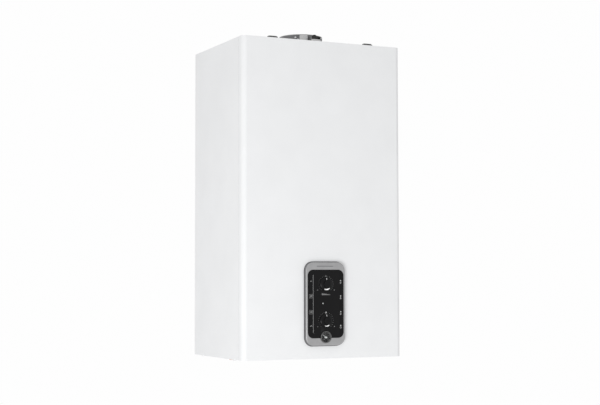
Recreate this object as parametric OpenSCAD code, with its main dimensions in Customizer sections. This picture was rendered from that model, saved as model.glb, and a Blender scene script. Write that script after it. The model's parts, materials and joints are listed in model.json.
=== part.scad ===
/* [Casing] */
// Width of the casing
casing_w = 400; // [396:1:480]
// Height of the casing
casing_h = 720; // [700:1:820]
// Depth from the wall to the front face
casing_d = 290; // [290:1:330]
// Thickness of the sheet steel
sheet_t = 1; // [0.7:0.1:1.2]
// Radius of the front cover's upright edges
edge_r = 12; // [8:1:14]
// Depth of the front cover's side returns
cover_return = 22; // [22:1:26]
// Gap between the front cover and the panels behind it
seam_gap = 0.5; // [0.3:0.1:1]
// How far the screw line of the wall bracket is below the top
hang_drop = 50; // [50:1:60]

/* [Cover hooks] */
// Width of one hook
hook_w = 28; // [20:1:34]
// Distance between the two hooks
hook_span = 242; // [180:1:260]
// Height of a hook above the top
hook_rise = 5.5; // [5:0.5:8]

/* [Wall bracket] */
// Width of the wall bracket
bracket_w = 300; // [280:1:340]
// Height of the wall bracket
bracket_h = 60; // [56:1:70]
// Distance between the bracket's two screws
bracket_pitch = 240; // [180:1:250]
// Radius of the wall screw holes
bracket_hole_r = 4.5; // [3:0.5:6]

/* [Flue] */
// Distance of the flue's centre behind the front face
flue_setback = 120; // [115:1:130]
// Outside radius of the flue collar
collar_r = 51; // [50.5:0.5:56]
// Bore radius of the collar
collar_bore_r = 45.5; // [44:0.25:46]
// Height of the collar with its seal
collar_h = 27.5; // [22:0.5:35]
// Bore radius of the inner exhaust sleeve
exhaust_r = 30.25; // [29:0.25:31]

/* [Combustion chamber] */
// Width of the chamber
chamber_w = 300; // [296:1:306]
// Depth of the chamber
chamber_d = 170; // [168:1:176]
// Height of the space for the fan above the chamber
fan_space_h = 180; // [178:1:190]
// Number of burner blades
burner_blades = 11; // [8:1:12]
// Number of fins on the heat exchanger
exchanger_fins = 23; // [15:1:27]
// Radius of the fan scroll
scroll_r = 50; // [46:1:52]
// Number of blades on the fan wheel
fan_blades = 12; // [8:1:16]
// Radius of the expansion vessel
vessel_r = 145; // [130:1:148]
// Thickness of the expansion vessel
vessel_t = 55; // [45:1:60]

/* [Water parts] */
// Height of the space for the water parts under the chamber
lower_h = 270; // [266:1:290]
// Distance between two pipe connections
pipe_pitch = 65; // [63:1:67]
// Distance of the pipe connections from the wall
pipe_setback = 80; // [78:1:84]
// How far the connections reach below the casing
tail_drop = 10; // [6:1:30]
// Outside radius of the large connections
large_tail_r = 13.2; // [12:0.1:14]
// Outside radius of the small connections
small_tail_r = 10.5; // [9.5:0.1:11.5]
// Outside radius of the water pipes
water_pipe_r = 9; // [7:0.5:10]
// Radius of the pump
pump_r = 45; // [40:1:46]

/* [Control panel] */
// Width of the panel housing
panel_w = 98.5; // [98.5:0.5:110]
// Height of the panel housing
panel_h = 188; // [187:1:205]
// Corner radius of the panel housing
panel_r = 19; // [15:1:22]
// Height of the panel housing above the casing's foot
panel_foot = 29; // [27:1:36]
// How far the panel stands proud of the front face
panel_proud = 9; // [8:0.5:14]
// Gap round the panel in the front cover
panel_gap = 1; // [0.8:0.1:2]
// Width of the black fascia
fascia_w = 89.5; // [89:0.5:92]
// Height of the black fascia
fascia_h = 153; // [152:1:158]
// Corner radius of the fascia
fascia_r = 13; // [10:1:15]
// Radius of a knob
knob_r = 15.5; // [13:0.5:17]
// How far a knob stands proud of the fascia
knob_h = 9; // [6:0.5:12]
// Radius of the pressure gauge
gauge_r = 13.2; // [13:0.1:14]
// Radius of a push button
button_r = 3.6; // [3:0.1:4]
// Travel of a push button
button_travel = 1; // [0.5:0.1:1.2]

/* [Hidden] */
$fn = 48;

// Small working clearances and overshoots
fit = 0.2;
loose = 0.3;
past = 1;

// Casing planes, with the origin on the wall at the bracket's screw line
half_w = casing_w / 2;
top_z = hang_drop;
base_z = hang_drop - casing_h;
front_y = -casing_d;
seam_y = front_y + cover_return;
panel_y = seam_y + seam_gap;
inner_x = half_w - sheet_t;
lip_w = 12;
rear_gap = 6;
frame_y = -rear_gap - sheet_t;
frame_flange = 20;
ledge_drop = 5;
ledge_y = front_y + 6;
cover_foot = 3;
plate_x = inner_x - fit;
rail_x = inner_x - lip_w - 2;
plate_rear_y = frame_y + sheet_t;
plate_screw_y = [front_y + 60, -40];
plate_screws = [for (x = [-1, 1], y = plate_screw_y) [x * (inner_x - lip_w / 2), y]];

// Wall bracket and the slots that hang on it
bracket_t = 2;
bracket_arm_w = 40;
bracket_arm_span = 180;
bracket_arm_z = bracket_h / 2 - 12;
bracket_lip_y = frame_y - 1;
bracket_lip_h = 14;
bracket_slot_h = 16;

// Hooks of the front cover
hook_t = 1.5;
hook_y = front_y + 13;
hook_foot = (hook_rise + ledge_drop) / 2 - fit;
hook_lip = 2.5;
hook_slot_gap = 2;
hook_slot_front = 6;
cover_screw_span = 300;
cover_screw_r = 2;
cover_screw_y = front_y + 12;

// Screws with a low round head
screw_r = 1.9;
screw_hole_r = 2;
screw_head_r = 3.4;
screw_head_h = 1.8;
screw_l = 7;

// Flue collar, centred on the casing
flue_y = front_y + flue_setback;
collar_flange_r = collar_r + 8.5;
collar_flange_t = 3;
collar_screw_pcd = collar_r + collar_flange_r;
seal_t = 1.5;
collar_top_z = top_z + collar_h - seal_t;
sleeve_t = 1.25;
flange_bolt_pcd = collar_r + collar_bore_r;
flange_bolt_r = 1.8;
sampling_x = [3.5, 14.5];
sampling_cap_r = 5;
sampling_plug_r = 3;
sampling_plug_l = 6;
sampling_rim = 8;
sampling_tab = [6, 3, 3.5];
sampling_cheek = 3.5;
sampling_cheek_up = 7;
sampling_round = 3;
sampling_y = flue_y - collar_r - sampling_cap_r - 1;
sampling_front_y = sampling_y - sampling_cap_r - 3;
sampling_back_y = flue_y - collar_bore_r + 4;
sampling_top_z = top_z + 15;
sampling_cheek_z = sampling_top_z + sampling_cheek_up;
sampling_seat_x = [sampling_x[0] - sampling_cap_r - loose, sampling_x[1] + sampling_cap_r + loose];
air_inlet_span = 240;
air_inlet_y = -110;
air_inlet_r = 40;
air_cover_r = 47;
air_cover_t = 1.5;
air_screw_r = (air_inlet_r + air_cover_r) / 2;
collar_screws = [for (a = [45 : 90 : 315])
    [collar_screw_pcd / 2 * cos(a), flue_y + collar_screw_pcd / 2 * sin(a)]];
air_cover_screws = [for (side = [-1, 1], a = [90 : 120 : 330])
    [side * air_inlet_span / 2 + air_screw_r * cos(a), air_inlet_y + air_screw_r * sin(a)]];
web_w = 6;

// Combustion chamber
chamber_back_y = -80;
chamber_front_y = chamber_back_y - chamber_d;
chamber_top_z = top_z - fan_space_h;
chamber_base_z = base_z + lower_h;
chamber_x = chamber_w / 2;
chamber_flange = 8;
chamber_tab_h = 15;
chamber_cover_t = 2;
board_t = 12;
burner_l = 115;
burner_y = chamber_front_y + 35;
burner_z = chamber_base_z + 8;
burner_h = 32;
burner_pitch = 20;
burner_rail_w = 10;
burner_rail_in = 6;
burner_rail_up = 4;
blade_t = 8;
manifold_r = 8;
manifold_end = 12;
nozzle_r = 2.5;
manifold_y = burner_y - 17;
manifold_z = burner_z + 12;
gas_pipe_r = 7;
fitting_t = 2;
gas_pipe_z = chamber_base_z - 15;
electrode_x = 25;
electrode_r = 4;
electrode_in = 20;
electrode_out = 10;
electrode_collar_r = 7;
electrode_collar_t = 3;
electrode_wire_r = 1;
electrode_reach = 30;
electrode_z = burner_z + burner_h + 9;

// Heat exchanger, with its pipes leaving at the sides
exchanger_x = 126;
exchanger_h = 60;
exchanger_y = chamber_back_y - 30;
exchanger_d = 110;
exchanger_z = chamber_top_z - exchanger_h / 2;
fin_t = 1;
fin_in = 3;
tube_r = 8;
tube_pitch = 21;
exchanger_ledge_t = 2;
header_w = 10;
side_pipe_x = chamber_x + 18;
exchanger_stub_x = chamber_x + 5;
side_pipe_y = exchanger_y - exchanger_d / 2;
board_top_z = exchanger_z - exchanger_h / 2 - 5;
board_base_z = burner_z + burner_h + 15;

// Flue hood and fan
hood_h = 35;
hood_top_z = chamber_top_z + hood_h;
scroll_d = 64;
scroll_y = flue_y - scroll_d / 2;
scroll_back_y = flue_y + scroll_d / 2;
spigot_r = 30;
fan_x = scroll_r - spigot_r;
scroll_top_z = top_z - 10;
spigot_top_z = top_z - loose;
fan_z = scroll_top_z - scroll_r;
scroll_t = 2;
inlet_r = 26;
duct_back_y = chamber_back_y - 5;
duct_half_w = 46;
motor_r = 30;
motor_drum_r = 25;
motor_plate_t = 6;
motor_l = 42;
motor_end = 8;
wheel_r = 38;
wheel_t = 2;
wheel_gap = 5;
wheel_hub = 12;
fan_blade_t = 1.5;
shaft_r = 3;
switch_r = 26;
switch_in = 35;
switch_x = chamber_x - switch_in;
switch_t = 28;
switch_up = 8;
switch_foot_w = 24;
switch_foot_d = 20;
switch_port_x = 8;
switch_port_r = 3;
switch_port_l = 12;

// Expansion vessel on the rear frame
vessel_drop = 105;
vessel_z = chamber_top_z - vessel_drop;
vessel_y = frame_y - vessel_t;
vessel_mid_y = frame_y - vessel_t / 2;
vessel_rim = 4;
vessel_rim_t = 6;
vessel_step = 12;
vessel_shoulder = 8;
vessel_port_h = 8;
vessel_port_r = 8;
vessel_port_z = vessel_z - vessel_r - vessel_port_h;
vessel_pipe_r = 5;
vessel_pipe_x = 60;

// Water parts
tail_y = -pipe_setback;
tail_z = base_z - tail_drop;
tail_step = 2;
tail_wall = 1.5;
tail_radii = [large_tail_r, small_tail_r, large_tail_r, small_tail_r, large_tail_r];
relief_l = 12;
relief_knob_l = 18;
relief_knob_gap = 7;
block_z = base_z + 30;
block_h = 80;
block_d = 60;
block_top_z = block_z + block_h;
block_front_y = tail_y - block_d / 2;
block_in_x = pipe_pitch - 20;
block_out_x = inner_x - 2 * relief_l - relief_knob_l - relief_knob_gap;
block_foot = 8;
block_port_z = block_z + block_h / 2;
vessel_pipe_z = block_z + 50;
pump_gap = 4;
pump_x = side_pipe_x - water_pipe_r - pump_gap - pump_r;
pump_neck = 8;
pump_wall = 6;
pump_seat_t = 2;
pump_seat_r = 15;
pump_neck_r = 13;
pump_vent_r = 11;
pump_terminal_w = 20;
pump_terminal_h = 40;
pump_terminal_in = 8;
pump_wheel_gap = 10;
pump_disc_t = 3;
pump_blade_t = 2;
pump_shaft_in = 20;
pump_z = block_top_z + pump_r + pump_neck;
pump_d = 50;
pump_y = tail_y - pump_d / 2;
pump_motor_r = 38;
pump_motor_l = 52;
pump_wheel_r = 30;
vent_r = 14;
vent_h = 38;
vent_cap_h = 8;
valve_w = 60;
valve_d = 55;
valve_z = base_z + 70;
valve_h = 80;
valve_front_y = tail_y - 22;
coil_r = 13;
coil_l = 24;
coil_edge = 1;
coil_drop = 6;
spindle_r = 3;
spindle_disc_r = 9;
diverter_gap = 14;
diverter_w = 40;
diverter_d = 44;
diverter_h = 55;
diverter_bore_h = 40;
diverter_seat_z = block_z + 20;
diverter_roof = 20;
spindle_disc_t = 4;
spindle_disc_drop = 24;
spindle_rise = 30;
flow_pipe_in = 12;
flow_pipe_x = flow_pipe_in - block_out_x;
diverter_x = flow_pipe_x + water_pipe_r + diverter_gap + diverter_w / 2;
crossing_z = gas_pipe_z - 30;
relief_forward = 15;
relief_x = block_out_x + relief_l;
relief_r = 12;
relief_out_r = 7;
relief_step = 0.6;
relief_past_tail = relief_x - 2 * pipe_pitch;
relief_reach = large_tail_r + tail_step + relief_out_r + relief_step + loose;
relief_y = tail_y
    - max(relief_forward, sqrt(max(0, pow(relief_reach, 2) - pow(relief_past_tail, 2))));
relief_knob_r = 13;
flute_r = 3;
flute_z = 4;
relief_stem = 14;
filling_in = 25;
filling_x = block_out_x - filling_in;
filling_l = 20;
filling_gap = 10;
filling_stem = 20;
filling_bore = 14;
phe_gap = 17;
phe_w = 2 * (filling_x - relief_knob_r - phe_gap);
phe_h = 70;
phe_r = 12;
phe_plates = 9;
phe_pitch = 4;
nut_r = 19;
nut_h = 14;

// Control box behind the panel, and the mains gland beside it
box_gap = 40;
box_w = casing_w - 2 * box_gap;
box_t = 2.5;
box_arm_w = 10;
box_arm_x = box_w / 2 - box_arm_w;
box_front_y = front_y + 28;
box_back_y = front_y + 85;
box_z = base_z + 20;
box_h = 220;
box_post = 10;
box_post_r = 4;
box_post_x = box_w / 2 - box_gap;
board_edge = 15;
board_w = box_w - 50;
transformer = [50, 26, 44];
relay = [12, 16, 28];
relay_pitch = 18;
terminal_row = [60, 14, 18];
capacitor_r = 9;
capacitor_l = 22;
capacitor_pitch = 25;
gland_x = -box_w / 2 - 5;
gland_back = 90;
gland_y = front_y + gland_back;
gland_r = 9;
gland_neck_r = 6.8;
gland_nut_h = 5;
gland_below = 4;
gland_above = 12;
gland_bore_r = 4;

// Panel housing and what it carries
panel_z = base_z + panel_foot + panel_h / 2;
panel_face_y = front_y - panel_proud;
panel_t = 2.4;
fascia_foot = 17.5;
fascia_z = base_z + panel_foot + fascia_foot + fascia_h / 2;
fascia_t = 3;
fascia_proud = 0.5;
fascia_y = panel_face_y - fascia_proud;
fascia_back_y = fascia_y + fascia_t;
ledge_t = 2;
ledge_w = 3;
display_y = fascia_back_y + 13.5;
display_t = 1.6;
display_w = 80;
display_z = [fascia_z - 57, fascia_z + 72];
display_post_x = 24;
display_post_r = 2.5;
switch_h = 4;
switch_w = 6;
knob_z = [fascia_z + 44.5, fascia_z - 37.5];
knob_shaft_r = 3;
knob_grip_r = 8.5;
knob_skirt = 5;
selector_w = 16;
selector_h = 9;
selector_back = 1;
icon_x = fascia_w / 2 - 7.5;
icon_z = [fascia_z + 52, fascia_z + 17.4, fascia_z - 18.2, fascia_z - 49];
button_proud = 0.8;
button_flange = 1;
button_lip = 0.8;
button_stem_r = 1.5;
light_r = 1.5;
light_proud = 0.3;
status_light = [-7.5, fascia_z + 1];
gauge_z = fascia_z - 74.5;
gauge_y = fascia_y - 2;
gauge_back_y = panel_face_y + 28;
gauge_wall = 1.8;
gauge_lens_t = 0.8;
gauge_lens_y = gauge_y + 0.4;
gauge_seat = 0.6;
gauge_deep = 5;
needle_l = 9;
needle_tail = 4;
needle_w = 1;
needle_t = 0.6;
needle_boss_r = 1.8;
needle_boss_t = 0.8;
needle_shaft_r = 0.6;
needle_shaft_l = 4;
needle_rest = 54;

// Box between two corners
module block(low, high) {
    translate(low) cube(high - low);
}

// Round rod between two points
module rod(a, b, r) {
    v = b - a;
    translate(a)
        rotate([0, acos(v.z / norm(v)), atan2(v.y, v.x)])
            cylinder(h = norm(v), r = r);
}

// Pipe along a route of points, with a round fitting at each corner
module pipe_run(route, r) {
    for (i = [0 : len(route) - 2]) rod(route[i], route[i + 1], r);
    for (i = [1 : len(route) - 2]) translate(route[i]) sphere(r + fitting_t);
}

// Upright round bar or hole at a place in plan
module post(x, y, z0, z1, r) {
    translate([x, y, z0]) cylinder(h = z1 - z0, r = r);
}

// Round bar or hole from front to back at a place on the front
module along_y(x, z, y0, y1, r) {
    translate([x, y0, z]) rotate([-90, 0, 0]) cylinder(h = y1 - y0, r = r);
}

// Round bar or hole from side to side
module along_x(y, z, x0, x1, r) {
    translate([x0, y, z]) rotate([0, 90, 0]) cylinder(h = x1 - x0, r = r);
}

// Outline on the front, carried from one depth to another
module front_plate(y0, y1) {
    translate([0, y1, 0]) rotate([90, 0, 0]) linear_extrude(y1 - y0) children();
}

// Rectangle with round corners, about its centre
module round_rect(w, h, r) {
    square([w - 2 * r, h], center = true);
    square([w, h - 2 * r], center = true);
    for (x = [-1, 1], y = [-1, 1])
        translate([x * (w / 2 - r), y * (h / 2 - r)]) circle(r);
}

// Screw with a low head, its shank pointing down
module screw() {
    cylinder(h = screw_head_h, r = screw_head_r);
    translate([0, 0, -screw_l]) cylinder(h = screw_l, r = screw_r);
}

// Screw with its head below and its shank pointing up
module screw_up() {
    mirror([0, 0, 1]) screw();
}

// Wall bracket: a bar screwed to the wall, with two upturned arms
module wall_bracket() color("silver") {
    arm_x = bracket_arm_span / 2;
    difference() {
        block([-bracket_w / 2, -bracket_t, -bracket_h / 2], [bracket_w / 2, 0, bracket_h / 2]);
        for (x = [-1, 1]) along_y(x * bracket_pitch / 2, 0, -bracket_t - past, past, bracket_hole_r);
    }
    for (x = [-arm_x, arm_x]) {
        x0 = x - bracket_arm_w / 2;
        x1 = x + bracket_arm_w / 2;
        block([x0, bracket_lip_y - bracket_t, bracket_arm_z - bracket_t], [x1, -bracket_t, bracket_arm_z]);
        block([x0, bracket_lip_y - bracket_t, bracket_arm_z - bracket_t],
            [x1, bracket_lip_y, bracket_arm_z + bracket_lip_h]);
    }
}

// Rear frame: a sheet with side flanges, hung by two slots on the bracket's arms
module rear_frame() color("gainsboro") {
    flange_x = inner_x - fit;
    arm_x = bracket_arm_span / 2;
    slot_w = bracket_arm_w + 4;
    difference() {
        block([-flange_x, frame_y, base_z + sheet_t], [flange_x, -rear_gap, top_z - sheet_t]);
        for (x = [-arm_x, arm_x])
            block([x - slot_w / 2, frame_y - past, bracket_arm_z - bracket_slot_h],
                [x + slot_w / 2, -rear_gap + past, bracket_arm_z]);
    }
    for (x = [-flange_x, flange_x - sheet_t])
        block([x, frame_y - frame_flange, base_z + sheet_t], [x + sheet_t, frame_y, top_z - sheet_t]);
}

// Side panel: a flat sheet with a front lip
module side_panel(side) color("white") {
    x = side * (half_w - sheet_t / 2);
    block([x - sheet_t / 2, panel_y, base_z], [x + sheet_t / 2, 0, top_z]);
    lip_x = side * (inner_x - lip_w / 2);
    block([lip_x - lip_w / 2, panel_y, base_z + ledge_drop + 2 * sheet_t],
        [lip_x + lip_w / 2, panel_y + sheet_t, top_z - ledge_drop - 2 * sheet_t]);
}

module left_side_panel() side_panel(-1);

module right_side_panel() side_panel(1);

// Top panel: a plate with side flanges, a front step under the cover and three round holes
module top_panel() color("white") {
    difference() {
        block([-plate_x, panel_y, top_z - sheet_t], [plate_x, plate_rear_y, top_z]);
        post(0, flue_y, top_z - 2 * sheet_t, top_z + past, collar_bore_r);
        for (x = [-1, 1])
            post(x * air_inlet_span / 2, air_inlet_y, top_z - 2 * sheet_t, top_z + past, air_inlet_r);
        for (p = concat(collar_screws, air_cover_screws))
            post(p.x, p.y, top_z - 2 * sheet_t, top_z + past, screw_hole_r);
    }
    block([-rail_x, panel_y, top_z - ledge_drop], [rail_x, panel_y + sheet_t, top_z - sheet_t]);
    block([-rail_x, ledge_y, top_z - ledge_drop - sheet_t],
        [rail_x, panel_y + sheet_t, top_z - ledge_drop]);
}

// Bottom plate: a plate with a front step, two arms for the control box and holes for the pipes
module bottom_plate() color("white") {
    difference() {
        union() {
            block([-plate_x, panel_y, base_z], [plate_x, plate_rear_y, base_z + sheet_t]);
            block([-rail_x, panel_y, base_z + sheet_t], [rail_x, panel_y + sheet_t, base_z + ledge_drop]);
            block([-rail_x, ledge_y, base_z + ledge_drop],
                [rail_x, panel_y + sheet_t, base_z + ledge_drop + sheet_t]);
            for (x = [-box_arm_x, box_arm_x])
                block([x - box_arm_w / 2, box_front_y, base_z + sheet_t],
                    [x + box_arm_w / 2, box_back_y, box_z]);
        }
        for (i = [-2 : 2]) post(i * pipe_pitch, tail_y, base_z - past, base_z + 2 * sheet_t, nut_r);
        post(relief_x, relief_y, base_z - past, base_z + 2 * sheet_t, relief_out_r + 1);
        post(gland_x, gland_y, base_z - past, base_z + 2 * sheet_t, gland_neck_r + fit);
        for (p = plate_screws) post(p.x, p.y, base_z - past, base_z + 2 * sheet_t, screw_hole_r);
        slot_r = cover_screw_r + loose;
        for (x = [-cover_screw_span / 2, cover_screw_span / 2])
            block([x - slot_r, ledge_y - past, base_z + ledge_drop - past],
                [x + slot_r, cover_screw_y + slot_r, base_z + ledge_drop + 2 * sheet_t]);
    }
}

// Hooks: two tabs on the top panel's step, through which the front cover hangs
module cover_hooks() color("dimgray")
    for (x = [-1, 1]) translate([x * hook_span / 2, 0, 0]) {
        top = top_z + hook_rise;
        foot_z = top_z - ledge_drop;
        front_plate(hook_y - hook_t / 2, hook_y + hook_t / 2) {
            translate([-hook_w / 2, foot_z]) square([hook_w, top - foot_z - hook_foot]);
            translate([-hook_w / 2 + hook_foot, foot_z]) square([hook_w - 2 * hook_foot, top - foot_z]);
            for (side = [-1, 1])
                translate([side * (hook_w / 2 - hook_foot), top - hook_foot]) circle(hook_foot);
        }
        block([-hook_w / 2, hook_y + hook_t / 2, foot_z], [hook_w / 2, panel_y - loose, foot_z + hook_t]);
        block([-hook_w / 2 + hook_foot, hook_y - hook_t / 2 - hook_lip, top - hook_t],
            [hook_w / 2 - hook_foot, hook_y, top]);
    }

// Plan of the front cover, drawn in by an inset and running back to a depth
module cover_plan(inset, back_y) {
    w = casing_w - 2 * inset;
    r = edge_r - inset;
    y = front_y + inset;
    difference() {
        union() {
            translate([-w / 2, y + r]) square([w, back_y - y - r]);
            translate([-w / 2 + r, y]) square([w - 2 * r, r]);
            for (x = [-1, 1]) translate([x * (w / 2 - r), y + r]) circle(r);
        }
        translate([-w, back_y]) square([2 * w, 2 * edge_r]);
    }
}

// Front cover: a bent sheet with returns all round, slots for its hooks and the panel's cut-out
module front_cover() color("white")
    difference() {
        translate([0, 0, base_z]) linear_extrude(casing_h) cover_plan(0, seam_y);
        translate([0, 0, base_z + cover_foot + sheet_t])
            linear_extrude(casing_h - cover_foot - 2 * sheet_t) cover_plan(sheet_t, seam_y + past);
        translate([0, 0, base_z - past])
            linear_extrude(cover_foot + past) cover_plan(sheet_t, seam_y + past);
        front_plate(front_y - past, front_y + 2 * sheet_t) translate([0, panel_z])
            round_rect(panel_w + 2 * panel_gap, panel_h + 2 * panel_gap, panel_r + panel_gap);
        slot_x = hook_w / 2 + hook_slot_gap;
        for (x = [-hook_span / 2, hook_span / 2])
            block([x - slot_x, hook_y - hook_slot_front, top_z - 2 * sheet_t],
                [x + slot_x, hook_y + hook_slot_front, top_z + past]);
        for (x = [-cover_screw_span / 2, cover_screw_span / 2])
            post(x, cover_screw_y, base_z + cover_foot - past, base_z + cover_foot + 2 * sheet_t,
                cover_screw_r + fit);
    }

// Captive screws that hold the cover's foot
module cover_screws() color("gray")
    for (x = [-1, 1]) translate([x * cover_screw_span / 2, cover_screw_y, base_z + cover_foot]) {
        translate([0, 0, -screw_head_h]) cylinder(h = screw_head_h, r = screw_head_r);
        cylinder(h = ledge_drop + 2, r = cover_screw_r);
    }

// Screws of the collar, the air inlet covers and the bottom plate
module casing_screws() color("gray") {
    for (p = collar_screws) translate([p.x, p.y, top_z + collar_flange_t]) screw();
    for (p = air_cover_screws) translate([p.x, p.y, top_z + air_cover_t]) screw();
    for (p = plate_screws) translate([p.x, p.y, base_z]) screw_up();
}

// Saddle in front of the flue collar: the seat of the sampling cap between two cheeks
module sampling_saddle() {
    x0 = sampling_seat_x[0] - sampling_cheek;
    x1 = sampling_seat_x[1] + sampling_cheek;
    h = sampling_cheek_z - top_z;
    front_plate(sampling_front_y, sampling_back_y)
        difference() {
            union() {
                translate([(x0 + x1) / 2, top_z + h / 2]) round_rect(x1 - x0, h, sampling_round);
                translate([x0, top_z]) square([x1 - x0, h / 2]);
            }
            translate([sampling_seat_x[0], sampling_top_z])
                square([sampling_seat_x[1] - sampling_seat_x[0], h]);
        }
}

// Flue collar: a cast ring with a flange and a sampling saddle, and the exhaust sleeve on three webs
module flue_collar() color("darkgray") {
    difference() {
        union() {
            post(0, flue_y, top_z, top_z + collar_flange_t, collar_flange_r);
            post(0, flue_y, top_z, collar_top_z, collar_r);
            sampling_saddle();
        }
        post(0, flue_y, top_z - past, top_z + collar_h, collar_bore_r);
        for (p = collar_screws) post(p.x, p.y, top_z - past, top_z + collar_flange_t + past, screw_hole_r);
        for (a = [0 : 90 : 270])
            post(flange_bolt_pcd / 2 * cos(a), flue_y + flange_bolt_pcd / 2 * sin(a),
                top_z + collar_flange_t + 2, top_z + collar_h, flange_bolt_r);
        for (x = sampling_x)
            post(x, sampling_y, top_z + collar_flange_t, sampling_cheek_z, sampling_plug_r + fit);
    }
    difference() {
        union() {
            post(0, flue_y, top_z, collar_top_z, exhaust_r + sleeve_t);
            intersection() {
                post(0, flue_y, top_z, top_z + collar_flange_t, collar_bore_r - fit);
                for (a = [90 : 120 : 330])
                    translate([0, flue_y, top_z]) rotate([0, 0, a])
                        block([0, -web_w / 2, 0], [collar_bore_r, web_w / 2, collar_flange_t]);
            }
        }
        post(0, flue_y, top_z - past, top_z + collar_h, exhaust_r);
    }
}

// Seal on the collar's rim, with holes for the flue's bolts
module collar_seal() color("dimgray")
    difference() {
        post(0, flue_y, collar_top_z, collar_top_z + seal_t, collar_r);
        post(0, flue_y, collar_top_z - past, collar_top_z + seal_t + past, collar_bore_r);
        for (a = [0 : 90 : 270])
            post(flange_bolt_pcd / 2 * cos(a), flue_y + flange_bolt_pcd / 2 * sin(a),
                collar_top_z - past, collar_top_z + seal_t + past, flange_bolt_r + fit);
    }

// Cap of the two sampling holes: an oblong rim on two plugs, with a finger tab
module sampling_caps() color("black") {
    span = sampling_x[1] - sampling_x[0];
    translate([sampling_x[0] + span / 2, sampling_y, sampling_top_z]) {
        for (x = [-span / 2, span / 2]) {
            translate([x, 0, -sampling_plug_l]) cylinder(h = sampling_plug_l, r = sampling_plug_r);
            translate([x, 0, 0]) cylinder(h = sampling_rim, r = sampling_cap_r);
        }
        translate([-span / 2, -sampling_cap_r, 0]) cube([span, 2 * sampling_cap_r, sampling_rim]);
        translate([-sampling_tab.x / 2, -sampling_tab.y / 2, sampling_rim]) cube(sampling_tab);
    }
}

// Covers of the two air inlets beside the flue
module air_inlet_covers() color("white")
    difference() {
        for (x = [-1, 1])
            post(x * air_inlet_span / 2, air_inlet_y, top_z, top_z + air_cover_t, air_cover_r);
        for (p = air_cover_screws) post(p.x, p.y, top_z - past, top_z + air_cover_t + past, screw_hole_r);
    }

// Chamber: a sheet box, open at the front and the top, on four tabs to the rear frame
module chamber_box() color("lightgray") {
    difference() {
        union() {
            block([-chamber_x, chamber_front_y, chamber_base_z], [chamber_x, chamber_back_y, chamber_top_z]);
            block([-chamber_x - chamber_flange, chamber_front_y, chamber_base_z],
                [chamber_x + chamber_flange, chamber_front_y + sheet_t, chamber_top_z]);
        }
        block([-chamber_x + sheet_t, chamber_front_y - past, chamber_base_z + sheet_t],
            [chamber_x - sheet_t, chamber_back_y - sheet_t, chamber_top_z + past]);
        for (x = [-1, 1])
            along_x(side_pipe_y, exchanger_z, x * chamber_x - 2, x * chamber_x + 2, water_pipe_r + loose);
        post(0, manifold_y, chamber_base_z - past, chamber_base_z + 2 * sheet_t, gas_pipe_r + loose);
        for (x = [-90 : 30 : 90])
            block([x - 8, burner_y + 10, chamber_base_z - past],
                [x + 8, burner_y + burner_l - 10, chamber_base_z + 2 * sheet_t]);
    }
    for (x = [-chamber_x, chamber_x - sheet_t], z = [chamber_base_z, chamber_top_z - chamber_tab_h])
        block([x, chamber_back_y, z], [x + sheet_t, frame_y, z + chamber_tab_h]);
}

// Cover of the chamber, with a pressed field and holes for the electrodes
module chamber_cover() color("gainsboro")
    difference() {
        union() {
            block([-chamber_x - chamber_flange, chamber_front_y - chamber_cover_t, chamber_base_z],
                [chamber_x + chamber_flange, chamber_front_y, chamber_top_z]);
            block([-chamber_x + 25, chamber_front_y - chamber_cover_t - 2, board_base_z + 10],
                [chamber_x - 25, chamber_front_y - chamber_cover_t, chamber_top_z - 20]);
        }
        for (x = [-1, 1]) along_y(x * electrode_x, electrode_z, chamber_front_y - chamber_cover_t - past,
            chamber_front_y + past, electrode_r + fit);
    }

// Insulation: four fibre boards round the flame
module chamber_insulation() color("ivory") {
    x = chamber_x - sheet_t;
    y0 = chamber_front_y + board_t;
    y1 = chamber_back_y - sheet_t;
    block([-x, y1 - board_t, board_base_z], [x, y1, board_top_z]);
    block([-x, chamber_front_y, board_base_z], [x, y0, board_top_z]);
    for (side = [-x, x - board_t])
        block([side, y0, board_base_z], [side + board_t, y1 - board_t, board_top_z]);
}

// Burner: a row of upright blades on two rails
module burner() color("silver") {
    x = (burner_blades - 1) / 2 * burner_pitch;
    for (i = [0 : burner_blades - 1]) {
        x0 = -x + i * burner_pitch;
        block([x0 - blade_t / 2, burner_y, burner_z + burner_rail_up],
            [x0 + blade_t / 2, burner_y + burner_l, burner_z + burner_h]);
    }
    for (y = [burner_y + burner_rail_in, burner_y + burner_l - burner_rail_in - burner_rail_w])
        block([-chamber_x + sheet_t, y, chamber_base_z + sheet_t],
            [chamber_x - sheet_t, y + burner_rail_w, burner_z + burner_rail_up]);
}

// Gas manifold: a tube across the burner's front, with one nozzle for each blade
module gas_manifold() color("goldenrod") {
    x = (burner_blades - 1) / 2 * burner_pitch;
    along_x(manifold_y, manifold_z, -x - manifold_end, x + manifold_end, manifold_r);
    for (i = [0 : burner_blades - 1])
        along_y(-x + i * burner_pitch, manifold_z, manifold_y, burner_y, nozzle_r);
    post(0, manifold_y, gas_pipe_z + gas_pipe_r + fitting_t, manifold_z, gas_pipe_r);
}

// Electrodes: two ceramic rods with a collar on the cover and a bare wire over the burner
module electrodes() color("ivory")
    for (x = [-electrode_x, electrode_x]) {
        face_y = chamber_front_y - chamber_cover_t;
        tip_y = chamber_front_y + electrode_in;
        along_y(x, electrode_z, face_y - electrode_out, tip_y, electrode_r);
        along_y(x, electrode_z, face_y - electrode_collar_t, face_y, electrode_collar_r);
        along_y(x, electrode_z, tip_y, burner_y + electrode_reach, electrode_wire_r);
    }

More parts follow.
